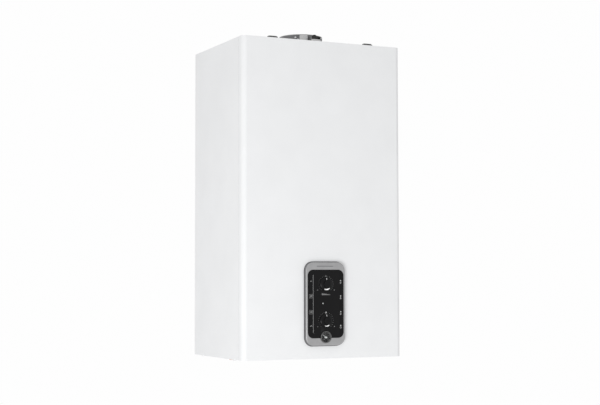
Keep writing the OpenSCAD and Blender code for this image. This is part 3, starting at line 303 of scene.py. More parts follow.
def rgba(colour):
    """Colour with full cover, as a socket takes it."""
    return (*colour[:3], 1.0)


def grey(value):
    """Neutral colour of one brightness."""
    return (value, value, value)


def tone(colour, share):
    """Colour made lighter or darker by a share."""
    return [share * part for part in colour]


def object_place(tree):
    """Place on the object, for textures that stay with the piece as it moves."""
    return tree.nodes.new("ShaderNodeTexCoord").outputs["Object"]


def give_mask(group, given, result, value):
    """Puts a mask out of its group, weakened by the group's Amount."""
    mask = calc(group, "MULTIPLY", value, given.outputs["Amount"], True)
    group.links.new(mask, result.inputs["Mask"])


def make_grain_group():
    """Fine surface texture with a slow change of tone across it."""
    inputs = {"Size": 2 * MM, "Stretch": (1, 1, 1)}
    group, given, result = new_group("Surface grain", inputs, ["Height", "Tone"])
    drawn = put(group, "ShaderNodeVectorMath", _0=object_place(group), _1=given.outputs["Stretch"])
    drawn.operation = "MULTIPLY"
    pitch = calc(group, "DIVIDE", 1.0, given.outputs["Size"])
    fine = put(group, "ShaderNodeTexNoise", Vector=drawn.outputs[0], Scale=pitch, Detail=3.0,
               Roughness=0.55)
    slow_pitch = calc(group, "MULTIPLY", pitch, 0.03)
    slow = put(group, "ShaderNodeTexNoise", Vector=drawn.outputs[0], Scale=slow_pitch, Detail=2.0)
    group.links.new(fine.outputs[0], result.inputs["Height"])
    group.links.new(remap(group, slow.outputs[0], 0.3, 0.7), result.inputs["Tone"])


def make_wear_group():
    """Mask of edges that handling has rubbed."""
    inputs = {"Reach": 1 * MM, "Amount": 0.5}
    group, given, result = new_group("Rubbed edges", inputs, ["Mask"])
    rounded = put(group, "ShaderNodeBevel", Radius=given.outputs["Reach"])
    rounded.samples = 4
    flat = group.nodes.new("ShaderNodeNewGeometry")
    meet = put(group, "ShaderNodeVectorMath", _0=rounded.outputs[0], _1=flat.outputs["Normal"])
    meet.operation = "DOT_PRODUCT"
    edge = remap(group, meet.outputs["Value"], 0.98, 0.8)
    patchy = put(group, "ShaderNodeTexNoise", Vector=object_place(group), Scale=90.0, Detail=4.0)
    broken = calc(group, "MULTIPLY", edge, remap(group, patchy.outputs[0], 0.4, 0.65))
    give_mask(group, given, result, broken)


def make_seam_group():
    """Mask of painted shade in narrow gaps, where little light falls."""
    inputs = {"Reach": 3 * MM, "Amount": 0.9}
    group, given, result = new_group("Painted shade in gaps", inputs, ["Mask"])
    open_sky = put(group, "ShaderNodeAmbientOcclusion", Distance=given.outputs["Reach"])
    open_sky.samples = 8
    give_mask(group, given, result, remap(group, open_sky.outputs["AO"], 0.72, 0.35))


def make_dust_group():
    """Mask of dust that settles on faces that look up."""
    group, given, result = new_group("Settled dust", {"Amount": 0.2}, ["Mask"])
    facing = group.nodes.new("ShaderNodeNewGeometry").outputs["Normal"]
    parts = put(group, "ShaderNodeSeparateXYZ", _0=facing)
    upward = remap(group, parts.outputs[2], 0.4, 1.0)
    cloud = put(group, "ShaderNodeTexNoise", Vector=object_place(group), Scale=35.0, Detail=5.0)
    patchy = calc(group, "MULTIPLY", upward, remap(group, cloud.outputs[0], 0.35, 0.75))
    give_mask(group, given, result, patchy)


def use_group(tree, name, **inputs):
    """Places a node group with its own values."""
    node = tree.nodes.new("ShaderNodeGroup")
    node.node_tree = bpy.data.node_groups[name]
    for label, value in inputs.items():
        node.inputs[label].default_value = value
    return node


def new_material(name):
    """Makes a material, and gives its node tree and shader."""
    if name in bpy.data.materials:
        raise RuntimeError("another material has the name " + name)
    material = bpy.data.materials.new(name)
    material.use_nodes = True
    return material.node_tree, material.node_tree.nodes["Principled BSDF"]


def dress(tree, shader, tint, roughness, height, depth):
    """Gives a shader its varying colour, roughness and relief."""
    tree.links.new(tint, shader.inputs["Base Color"])
    tree.links.new(roughness, shader.inputs["Roughness"])
    bump = put(tree, "ShaderNodeBump", Height=height, Distance=depth)
    tree.links.new(bump.outputs[0], shader.inputs["Normal"])


def finish_material(name, colour, shade, rough, metallic=0.0, grain=2.0, depth=0.01,
                    stretch=(1, 1, 1), worn=None, wear=0.0, dust=0.0, gap_shade=0.0, coat=0.0,
                    specular=0.5):
    """Finish of one range of colours, its grain's size and depth given in millimetres."""
    tree, shader = new_material(name)
    texture = use_group(tree, "Surface grain", Size=grain * MM, Stretch=stretch)
    tint = blend_colours(tree, texture.outputs["Tone"], rgba(colour), rgba(shade))
    roughness = remap(tree, texture.outputs["Tone"], 0.0, 1.0, *rough)
    if worn:
        rubbed = use_group(tree, "Rubbed edges", Reach=WEAR_REACH, Amount=wear)
        tint = blend_colours(tree, rubbed.outputs["Mask"], tint, rgba(worn))
    if dust:
        settled = use_group(tree, "Settled dust", Amount=dust)
        tint = blend_colours(tree, settled.outputs["Mask"], tint, rgba(DUST_COLOUR))
        duller = calc(tree, "MULTIPLY", settled.outputs["Mask"], 0.4)
        roughness = calc(tree, "ADD", roughness, duller, True)
    # Painted shade: an ambient-occlusion mask turns narrow gaps near black.
    if gap_shade:
        gaps = use_group(tree, "Painted shade in gaps", Amount=gap_shade)
        tint = blend_colours(tree, gaps.outputs["Mask"], tint, rgba(grey(GAP_SHADE_GREY)))
    dress(tree, shader, tint, roughness, texture.outputs["Height"], depth * MM)
    shader.inputs["Metallic"].default_value = metallic
    shader.inputs["Coat Weight"].default_value = coat
    shader.inputs["Coat Roughness"].default_value = COAT_ROUGHNESS
    shader.inputs["Specular IOR Level"].default_value = specular


# Settings

class CasingSettings(PropertyGroup):
    """Paint and edges of the casing"""
    paint: FloatVectorProperty(
        name="Paint", description="Colour of the powder-coated casing",
        subtype="COLOR", default=(0.825, 0.832, 0.840), min=0, max=1)
    paint_shade: FloatVectorProperty(
        name="Paint shade", description="Slightly deeper tone of the same paint",
        subtype="COLOR", default=(0.805, 0.812, 0.820), min=0, max=1)
    edge: FloatProperty(
        name="Sheet edge", description="Radius of the sheet steel's edges",
        unit="LENGTH", default=0.4 * MM, min=0.1 * MM, max=0.5 * MM)


class ControlSettings(PropertyGroup):
    """Colours and sizes of the control panel"""
    lacquer: FloatVectorProperty(
        name="Lacquer", description="Silver lacquer of the panel housing",
        subtype="COLOR", default=(0.34, 0.34, 0.345), min=0, max=1)
    # The flank colour is partly a bare moulding and partly painted shade on the sides that turn
    # from the light.
    flank: FloatVectorProperty(
        name="Flank", description="Bare moulded sides of the panel housing",
        subtype="COLOR", default=(0.19, 0.19, 0.195), min=0, max=1)
    gloss: FloatVectorProperty(
        name="Gloss black", description="Black of the fascia and knobs",
        subtype="COLOR", default=(0.004, 0.004, 0.0043), min=0, max=1)
    print_colour: FloatVectorProperty(
        name="Print", description="Grey of the printed marks",
        subtype="COLOR", default=(0.27, 0.27, 0.27), min=0, max=1)
    housing_fillet: FloatProperty(
        name="Housing fillet", description="Radius of the housing's front edge",
        unit="LENGTH", default=3.2 * MM, min=1 * MM, max=4 * MM)
    field_width: FloatProperty(
        name="Field width", description="Width of the fascia's raised middle field",
        unit="LENGTH", default=65 * MM, min=50 * MM, max=70 * MM)
    knob_ribs: IntProperty(
        name="Knob ribs", description="Number of grip ribs round a knob's cap",
        default=28, min=12, max=40)
    dial_marks: IntProperty(
        name="Dial marks", description="Number of dots round a knob",
        default=19, min=7, max=37)


class StageSettings(PropertyGroup):
    """Floor, background and lamps"""
    floor_height: FloatProperty(
        name="Floor height", description="Height of the floor from the hanging screws",
        unit="LENGTH", default=-1.9, min=-3, max=-0.8)
    backdrop: FloatProperty(
        name="Backdrop", description="Brightness of the white background",
        default=0.99, min=0.8, max=1)
    sky: FloatProperty(
        name="Soft light", description="Strength of the even light from all round",
        default=0.74, min=0, max=1.5)
    key: FloatProperty(
        name="Key lamp", description="Power of the large lamp at the front left",
        subtype="POWER", default=28, min=0, max=80)
    fill: FloatProperty(
        name="Low lamp", description="Power of the small lamp at the lower right",
        subtype="POWER", default=1.2, min=0, max=40)


# Finishes

# Name, colour, deeper tone, range of roughness, and what differs from a plain finish
FINISHES = (
    ("phosphated_steel", grey(0.070), grey(0.105), (0.38, 0.55),
     dict(metallic=0.6, grain=0.8, depth=0.01, worn=grey(0.35), wear=0.7)),
    ("cast_alloy", (0.21, 0.21, 0.215), (0.15, 0.15, 0.155), (0.42, 0.58),
     dict(metallic=0.85, grain=0.9, depth=0.06, worn=grey(0.42), wear=0.6, dust=0.15)),
    ("copper_tube", (0.72, 0.36, 0.22), (0.55, 0.26, 0.16), (0.18, 0.36),
     dict(metallic=1.0, grain=3, depth=0.008, stretch=(1, 1, 0.08), worn=(0.80, 0.46, 0.31),
          wear=0.5)),
    ("turned_brass", (0.72, 0.54, 0.25), (0.62, 0.45, 0.20), (0.20, 0.34),
     dict(metallic=1.0, grain=1, depth=0.01, stretch=(1, 1, 8), worn=(0.85, 0.70, 0.42), wear=0.6)),
    ("soft_rubber", grey(0.018), grey(0.026), (0.62, 0.78),
     dict(grain=0.6, depth=0.03, worn=grey(0.06), wear=0.5, dust=0.3)),
    ("black_moulding", grey(0.014), grey(0.020), (0.45, 0.56),
     dict(grain=0.5, depth=0.02, worn=grey(0.05), wear=0.4, dust=0.2)),
    ("grey_moulding", grey(0.080), grey(0.095), (0.44, 0.56),
     dict(grain=0.6, depth=0.02, worn=grey(0.16), wear=0.4, dust=0.2)),
    ("pale_moulding", (0.78, 0.78, 0.75), (0.70, 0.69, 0.66), (0.40, 0.52),
     dict(grain=0.7, depth=0.02, worn=grey(0.86), wear=0.3, dust=0.3)),
    ("red_moulding", (0.50, 0.030, 0.022), (0.40, 0.022, 0.018), (0.32, 0.44),
     dict(grain=0.8, depth=0.02, worn=(0.66, 0.12, 0.09), wear=0.5)),
    ("red_enamel", (0.46, 0.028, 0.020), (0.36, 0.020, 0.016), (0.16, 0.30),
     dict(grain=2.5, depth=0.02, worn=grey(0.30), wear=0.4, dust=0.5, coat=0.5)),
    ("blue_enamel", (0.020, 0.055, 0.135), (0.016, 0.044, 0.110), (0.28, 0.42),
     dict(grain=2, depth=0.02, worn=grey(0.30), wear=0.5, dust=0.4)),
    # Bright metal of the painted highlights on the knobs
    ("bright_inlay", grey(0.90), grey(0.84), (0.14, 0.22),
     dict(metallic=1.0, grain=1.2, depth=0.003, stretch=(0.1, 1, 1), worn=grey(0.96), wear=0.3)),
    # Pale grey of the knobs' pointers, also used for a painted highlight on the fascia.
    ("printed_pale", grey(0.62), grey(0.55), (0.45, 0.6),
     dict(grain=0.3, depth=0.008, specular=0.3)),
    ("printed_white", grey(0.88), grey(0.82), (0.35, 0.5),
     dict(grain=0.3, depth=0.008)),
    ("grey_seal", grey(0.40), grey(0.34), (0.55, 0.7),
     dict(grain=0.6, depth=0.03, dust=0.3)),
    ("frosted_rod", (0.46, 0.47, 0.47), (0.40, 0.41, 0.41), (0.28, 0.4),
     dict(grain=0.6, depth=0.02)),
    ("needle_enamel", grey(0.80), grey(0.72), (0.35, 0.5),
     dict(grain=0.6, depth=0.01)),
    ("dial_card", grey(0.004), grey(0.006), (0.55, 0.7),
     dict(grain=0.4, depth=0.01, specular=0.12)),
    ("bezel_grey", grey(0.09), grey(0.11), (0.25, 0.36),
     dict(metallic=0.3, grain=0.6, depth=0.01, worn=grey(0.30), wear=0.5)),
    ("glazed_ceramic", (0.84, 0.82, 0.76), (0.78, 0.76, 0.70), (0.10, 0.2),
     dict(grain=3, depth=0.01, coat=0.6)),
    ("glass_filled", (0.085, 0.075, 0.062), (0.065, 0.058, 0.048), (0.5, 0.62),
     dict(grain=1.2, depth=0.04, stretch=(1, 0.3, 1), worn=(0.20, 0.18, 0.15), wear=0.5, dust=0.3)),
    ("plated_hook", grey(0.22), grey(0.15), (0.40, 0.55),
     dict(metallic=0.5, grain=0.8, depth=0.01, worn=grey(0.5), wear=0.6)),
    ("zinc_clamp", grey(0.62), grey(0.52), (0.42, 0.58),
     dict(metallic=0.6, grain=2, depth=0.01, worn=grey(0.5), wear=0.5)),
    ("stainless", (0.66, 0.66, 0.67), (0.56, 0.56, 0.57), (0.20, 0.34),
     dict(metallic=1.0, grain=0.5, depth=0.01, stretch=(0.05, 1, 1), worn=grey(0.85), wear=0.6)),
)

# Finish of each packed slot, and of three nodes that differ from their slot
FINISH_OF_SLOT = {
    "white_paint": "white_powder_coat", "zinc_sheet": "galvanised_sheet",
    "dark_steel": "phosphated_steel", "cast_aluminium": "cast_alloy",
    "aluminised_steel": "aluminised_sheet", "bright_steel": "stainless", "copper": "copper_tube",
    "brass": "turned_brass", "black_rubber": "soft_rubber", "black_plastic": "black_moulding",
    "grey_plastic": "grey_moulding", "pale_plastic": "pale_moulding", "red_plastic": "red_moulding",
    "red_paint": "red_enamel", "blue_paint": "blue_enamel", "silver_plastic": "silver_lacquer",
    "gloss_black": "polished_black", "knob_black": "knob_moulding", "fibre_board": "ceramic_fibre",
    "white_ceramic": "glazed_ceramic", "green_board": "circuit_board",
    "clear_plastic": "clear_lens", "light_rod": "frosted_rod", "needle_white": "needle_enamel",
    "composite": "glass_filled",
}
FINISH_OF_NODE = {"gauge_case": "bezel_grey", "collar_seal": "grey_seal",
                  "cover_hooks": "plated_hook"}


class BOILER_OT_finishes(Operator):
    """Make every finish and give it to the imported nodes"""
    bl_idname = "boiler.finishes"
    bl_label = "Finishes"

    def execute(self, context):
        make_grain_group()
        make_wear_group()
        make_seam_group()
        make_dust_group()
        casing = context.scene.boiler_casing
        control = context.scene.boiler_control
        # The casing's paint takes painted shade in its narrow gaps.
        finish_material("white_powder_coat", casing.paint, casing.paint_shade, (0.52, 0.60),
                        grain=2.2, depth=0.006, worn=grey(0.70), wear=0.25, dust=0.10, gap_shade=0.95,
                        specular=0.35)
        finish_material("silver_lacquer", control.lacquer, tone(control.lacquer, 0.92),
                        (0.34, 0.42), metallic=0.35, grain=0.4, depth=0.004, worn=grey(0.48),
                        wear=0.3, coat=0.3, specular=0.4)
        # Darker grey of the housing's sides, partly painted shade; the plain name bar uses it too.
        finish_material("housing_flank", control.flank, tone(control.flank, 0.8), (0.42, 0.52),
                        grain=0.5, depth=0.015, worn=grey(0.18), wear=0.3, specular=0.3)
        finish_material("polished_black", control.gloss, tone(control.gloss, 1.3), (0.10, 0.16),
                        grain=4, depth=0.002, specular=0.13)
        finish_material("knob_moulding", tone(control.gloss, 1.2), tone(control.gloss, 1.6),
                        (0.16, 0.26), grain=0.8, depth=0.004, worn=grey(0.02), wear=0.3,
                        specular=0.12)
        finish_material("printed_grey", control.print_colour, tone(control.print_colour, 0.85),
                        (0.45, 0.6), grain=0.3, depth=0.008, specular=0.3)
        for name, colour, shade, rough, rest in FINISHES:
            finish_material(name, colour, shade, rough, **rest)
        self.sheet("galvanised_sheet", (0.60, 0.61, 0.62), (0.44, 0.45, 0.47), 12 * MM,
                   (0.30, 0.48))
        self.sheet("aluminised_sheet", (0.56, 0.56, 0.55), (0.46, 0.46, 0.45), 3 * MM,
                   (0.36, 0.50))
        self.fibre_board()
        self.circuit_board()
        self.clear_lens()
        for node in frame["nodes"].values():
            spot = node.material_slots[0]
            slot = spot.material.name.split(".")[0]
            spot.material = bpy.data.materials[FINISH_OF_SLOT[slot]]
        for node, finish in FINISH_OF_NODE.items():
            frame["nodes"][node].material_slots[0].material = bpy.data.materials[finish]
        return {"FINISHED"}

    def sheet(self, name, colour, shade, crystal, rough):
        """Coated steel sheet with the crystals of its coating."""
        tree, shader = new_material(name)
        cells = put(tree, "ShaderNodeTexVoronoi", Vector=object_place(tree), Scale=1 / crystal)
        parts = put(tree, "ShaderNodeSeparateXYZ", _0=cells.outputs["Color"])
        tint = blend_colours(tree, parts.outputs[0], rgba(colour), rgba(shade))
        rubbed = use_group(tree, "Rubbed edges", Reach=0.5 * MM, Amount=0.5)
        tint = blend_colours(tree, rubbed.outputs["Mask"], tint, rgba(grey(0.75)))
        roughness = remap(tree, parts.outputs[1], 0.0, 1.0, *rough)
        texture = use_group(tree, "Surface grain", Size=1 * MM)
        dress(tree, shader, tint, roughness, texture.outputs["Height"], 0.01 * MM)
        shader.inputs["Metallic"].default_value = 1.0

    def fibre_board(self):
        """Pressed ceramic fibre with loose strands."""
        tree, shader = new_material("ceramic_fibre")
        place = object_place(tree)
        wave = put(tree, "ShaderNodeTexWave", Vector=place, Scale=160.0, Distortion=14.0,
                   Detail=4.0)
        strands = put(tree, "ShaderNodeTexNoise", Vector=place, Scale=700.0, Detail=6.0,
                      Roughness=0.7)
        height = calc(tree, "ADD", wave.outputs["Fac"], strands.outputs[0])
        low, high = 0.4, 1.6
        tint = blend_colours(tree, remap(tree, height, low, high), rgba((0.62, 0.60, 0.54)),
                             rgba((0.82, 0.80, 0.75)))
        dress(tree, shader, tint, remap(tree, height, low, high, 0.85, 0.95), height, 0.4 * MM)

    def circuit_board(self):
        """Green solder mask over a net of tracks."""
        tree, shader = new_material("circuit_board")
        cells = put(tree, "ShaderNodeTexVoronoi", Vector=object_place(tree), Scale=220.0)
        cells.distance = "CHEBYCHEV"
        cells.feature = "F2"
        track = remap(tree, cells.outputs["Distance"], 0.55, 0.60)
        tint = blend_colours(tree, track, rgba((0.012, 0.060, 0.022)), rgba((0.030, 0.125, 0.045)))
        dress(tree, shader, tint, remap(tree, track, 0.0, 1.0, 0.38, 0.26), track, 0.04 * MM)

    def clear_lens(self):
        """Clear moulded lens with faint handling marks."""
        tree, shader = new_material("clear_lens")
        drift = use_group(tree, "Surface grain", Size=4 * MM).outputs["Tone"]
        tint = blend_colours(tree, drift, rgba((0.97, 0.98, 0.98)), rgba((0.93, 0.95, 0.95)))
        tree.links.new(tint, shader.inputs["Base Color"])
        tree.links.new(remap(tree, drift, 0.0, 1.0, 0.02, 0.06), shader.inputs["Roughness"])
        shader.inputs["Transmission Weight"].default_value = 1.0
        shader.inputs["IOR"].default_value = 1.3
        shader.inputs["Specular IOR Level"].default_value = 0.3


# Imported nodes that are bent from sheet
SHEET_NODES = (
    "front_cover", "left_side_panel", "right_side_panel", "top_panel", "bottom_plate",
    "rear_frame", "cover_hooks", "chamber_box", "flue_hood",
)

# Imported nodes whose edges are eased, by the width in millimetres
EASED_NODES = {
    0.12: ("gauge_needle",),
    0.3: ("indicator_lights",),
    0.35: ("fascia",),
    0.4: ("pipe_tails", "power_button", "reset_button", "mode_button", "comfort_button"),
    0.5: (
        "collar_seal", "chamber_cover", "fan_motor", "relief_valve", "cover_screws",
        "casing_screws", "gauge_case", "plate_heat_exchanger",
    ),
    0.6: ("air_inlet_covers", "fan_housing"),
    0.7: ("flue_collar", "sampling_caps"),
    0.8: ("wall_bracket", "relief_knob", "filling_knob", "pipe_nuts", "cable_gland"),
    1: ("air_vent", "air_pressure_switch", "control_box"),
    1.5: ("gas_valve",),
    2: ("flow_block", "return_block", "pump_motor", "diverter_motor"),
    2.5: ("pump_body",),
    3: ("expansion_vessel",),
}


class BOILER_OT_sheet_metal(Operator):
    """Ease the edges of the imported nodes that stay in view"""
    bl_idname = "boiler.sheet_metal"
    bl_label = "Eased edges"

    def execute(self, context):
        for name in SHEET_NODES:
            round_edges(frame["nodes"][name], context.scene.boiler_casing.edge)
        for width, names in EASED_NODES.items():
            for name in names:
                round_edges(frame["nodes"][name], width * MM)
        return {"FINISHED"}


# Control panel

class BOILER_OT_panel_housing(Operator):
    """Build the housing of the control panel, with its soft front edge and its recess"""
    bl_idname = "boiler.panel_housing"
    bl_label = "Panel housing"
    corner_radius = 19 * MM
    recess_radius = 13 * MM
    fascia_gap = 0.1 * MM
    corner_steps = 12

    def execute(self, context):
        fillet = context.scene.boiler_control.housing_fillet
        size = HOUSING_HIGH - HOUSING_LOW
        recess = FASCIA_HIGH - FASCIA_LOW
        mid, recess_mid = middle("panel_housing"), middle("fascia")
        face, back = HOUSING_LOW.y, HOUSING_HIGH.y
        wall, ledge, ledge_depth, lip = 2.4 * MM, 3 * MM, 2 * MM, 0.45 * MM
        floor = FASCIA_LOW.y + 3 * MM

        def outer(inset, depth):
            outline = round_outline(size.x - 2 * inset, size.z - 2 * inset,
                                    self.corner_radius - inset, self.corner_steps)
            return [(mid.x + x, depth, mid.z + z) for x, z in outline]

        def inner(inset, depth):
            spare = self.fascia_gap - inset
            outline = round_outline(recess.x + 2 * spare, recess.z + 2 * spare,
                                    self.recess_radius + spare, self.corner_steps)
            return [(mid.x + x, depth, recess_mid.z + z) for x, z in outline]

        angles = [math.radians(turn) for turn in range(0, 91, 15)]
        rounding = [outer(fillet * (1 - math.cos(a)), face + fillet * (1 - math.sin(a)))
                    for a in angles]
        rim = inner(0, face + lip)
        bm = bmesh.new()
        # The sides and the side half of the front fillet take the darker grey, painted shade where
        # they turn from the light.
        loft(bm, [outer(wall, back), outer(0, back)] + rounding[:3], FLANK_SHADE)
        loft(bm, rounding[2:] + [inner(-0.5 * MM, face), inner(-0.15 * MM, face + 0.1 * MM), rim],
             LACQUER)
        loft(bm, [rim, inner(0, floor), inner(ledge, floor), inner(ledge, floor + ledge_depth),
                  outer(wall, floor + ledge_depth), outer(wall, back)], FLANK_SHADE)
        piece = add_piece("control_panel_housing", bm, ["silver_lacquer", "housing_flank"],
                          "casing")
        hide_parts("panel_housing")
        self.notch(piece)
        return {"FINISHED"}

    def notch(self, piece):
        """Cuts the round seat of the gauge."""
        radius = GAUGE_RADIUS + 0.2 * MM
        past = 5 * MM
        bm = bmesh.new()
        lathe(bm, [(radius, HOUSING_LOW.y - past), (radius, HOUSING_HIGH.y + past)],
              GAUGE_CENTRE, 64)
        bmesh.ops.recalc_face_normals(bm, faces=bm.faces)
        cutter = link_object("gauge_seat_cutter", close_mesh("gauge_seat_cutter", bm))
        cut = piece.modifiers.new("Gauge seat", "BOOLEAN")
        cut.object = cutter
        cut.solver = "EXACT"
        bpy.context.view_layer.update()
        evaluated = piece.evaluated_get(bpy.context.evaluated_depsgraph_get())
        shaped = bpy.data.meshes.new_from_object(evaluated)
        piece.modifiers.remove(cut)
        piece.data = shaped
        bpy.data.objects.remove(cutter)


class BOILER_OT_fascia(Operator):
    """Build the raised field and the printed marks of the black fascia, with a painted highlight
    along the field's left edge
    """
    bl_idname = "boiler.fascia"
    bl_label = "Fascia"
    margin = 5 * MM
    name_bar_drop = 9.5 * MM
    dot_circle = 18 * MM
    smallest_dot, dot_growth = 0.34, 0.30
    sign_length, sign_width = 3.0 * MM, 0.7 * MM
    bars, bar_pitch = 9, 2.4 * MM

    def execute(self, context):
        control = context.scene.boiler_control
        face = FASCIA_LOW.y
        field_face = face - FIELD_RISE
        top, foot = FASCIA_HIGH.z - self.margin, FASCIA_LOW.z + self.margin
        x, z = middle("fascia").x, (top + foot) / 2
        outline = self.field_outline(control.field_width, top - foot, GAUGE_RADIUS + 1.5 * MM,
                                     GAUGE_CENTRE[1] - z)
        add_plate("fascia_field", "polished_black", outline, (x, z), field_face,
                  face - 0.02 * MM, edge=0.35 * MM)
        self.dial_marks(control.dial_marks, field_face)
        self.level_bars(x, middle("heating_knob").z - 22.7 * MM, field_face)
        self.status_lens(field_face)
        # Painted highlight: a thin pale line along the left edge of the raised field, where its
        # edge would catch the light.
        edge_highlight = round_outline(0.4 * MM, top - foot - 13 * MM, 0.15 * MM, 2)
        add_plate("field_edge_highlight", "printed_pale", edge_highlight,
                  (x - control.field_width / 2 + 0.45 * MM, z), field_face - 0.08 * MM, field_face,
                  smooth=False)
        name_bar = round_outline(41 * MM, 1.9 * MM, 0.9 * MM, 6)
        add_plate("plain_name_bar", "housing_flank", name_bar,
                  (x - 1.6 * MM, HOUSING_HIGH.z - self.name_bar_drop),
                  HOUSING_LOW.y - 0.15 * MM, HOUSING_LOW.y + 0.3 * MM, edge=0.1 * MM)
        return {"FINISHED"}

    def field_outline(self, width, height, seat, gauge_z):
        """Round-cornered rectangle with a round notch for the gauge in its lower edge."""
        points = round_outline(width, height, 6 * MM)
        reach = math.sqrt(seat ** 2 - (height / 2 + gauge_z) ** 2)
        start = math.degrees(math.atan2(-height / 2 - gauge_z, reach))
        steps = 24
        arc = [math.radians(180 - start + (2 * start - 180) * n / steps) for n in range(steps + 1)]
        split = 3 * (len(points) // 4)
        notch = [(seat * math.cos(a), gauge_z + seat * math.sin(a)) for a in arc]
        return points[:split] + notch + points[split:]

    def dial_marks(self, marks, depth):
        """Growing dots round each knob, a mark over it, and a minus and a plus at its ends."""
        bm = bmesh.new()
        front = depth - PRINT_RISE
        level = round_outline(self.sign_length, self.sign_width, 0.2 * MM, 2)
        upright = round_outline(self.sign_width, self.sign_length, 0.2 * MM, 2)
        for knob in KNOBS:
            centre = middle(knob)
            for n in range(marks):
                if 2 * n == marks - 1:
                    continue
                share = n / (marks - 1)
                angle = math.radians(KNOB_TURN * (share - 0.5))
                spot = (centre.x + self.dot_circle * math.sin(angle),
                        centre.z + self.dot_circle * math.cos(angle))
                dot = ring_outline((self.smallest_dot + self.dot_growth * share) * MM, 12)
                plate(bm, dot, spot, front, depth)
            for side in (-1, 1):
                spot = (centre.x + side * 21 * MM, centre.z - 13.5 * MM)
                plate(bm, level, spot, front, depth)
            plate(bm, upright, spot, front - 0.01 * MM, depth)
        triangle = [(-1.5 * MM, -1.4 * MM), (0.0, 1.8 * MM), (1.5 * MM, -1.4 * MM)]
        upper, lower = (middle(knob) for knob in KNOBS)
        plate(bm, triangle, (upper.x, upper.z + 18.2 * MM), front, depth)
        add_piece("dial_marks", bm, ["printed_grey"], "casing", smooth=False)
        add_plate("comfort_mark", "printed_white",
                  round_outline(1.5 * MM, 3.6 * MM, 0.3 * MM, 3),
                  (lower.x, lower.z + self.dot_circle), front, depth, smooth=False)

    def status_lens(self, depth):
        """Domed lens over the small status light between the knobs."""
        spot = (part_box("indicator_lights")[0].x + LIGHT_RADIUS,
                middle("heating_knob").z - 43.5 * MM)
        profile = [(LIGHT_RADIUS, depth + 0.05 * MM), (LIGHT_RADIUS, depth - 0.1 * MM),
                   (1.2 * MM, depth - 0.3 * MM), (0.7 * MM, depth - 0.42 * MM),
                   (0.0, depth - 0.46 * MM)]
        bm = bmesh.new()
        lathe(bm, profile, spot, 24)
        add_piece("status_lens", bm, ["frosted_rod"], "casing")

    def level_bars(self, x, z, depth):
        """Row of bars, from tall to low, under the upper knob."""
        bm = bmesh.new()
        for n in range(self.bars):
            height = (4.2 - 0.36 * n) * MM
            place = (x + (n - self.bars // 2) * self.bar_pitch, z + height / 2 - 2.1 * MM)
            bar = round_outline(1.6 * MM, height, 0.3 * MM, 3)
            plate(bm, bar, place, depth - PRINT_RISE, depth)
        add_piece("level_bars", bm, ["printed_grey"], "casing", smooth=False)


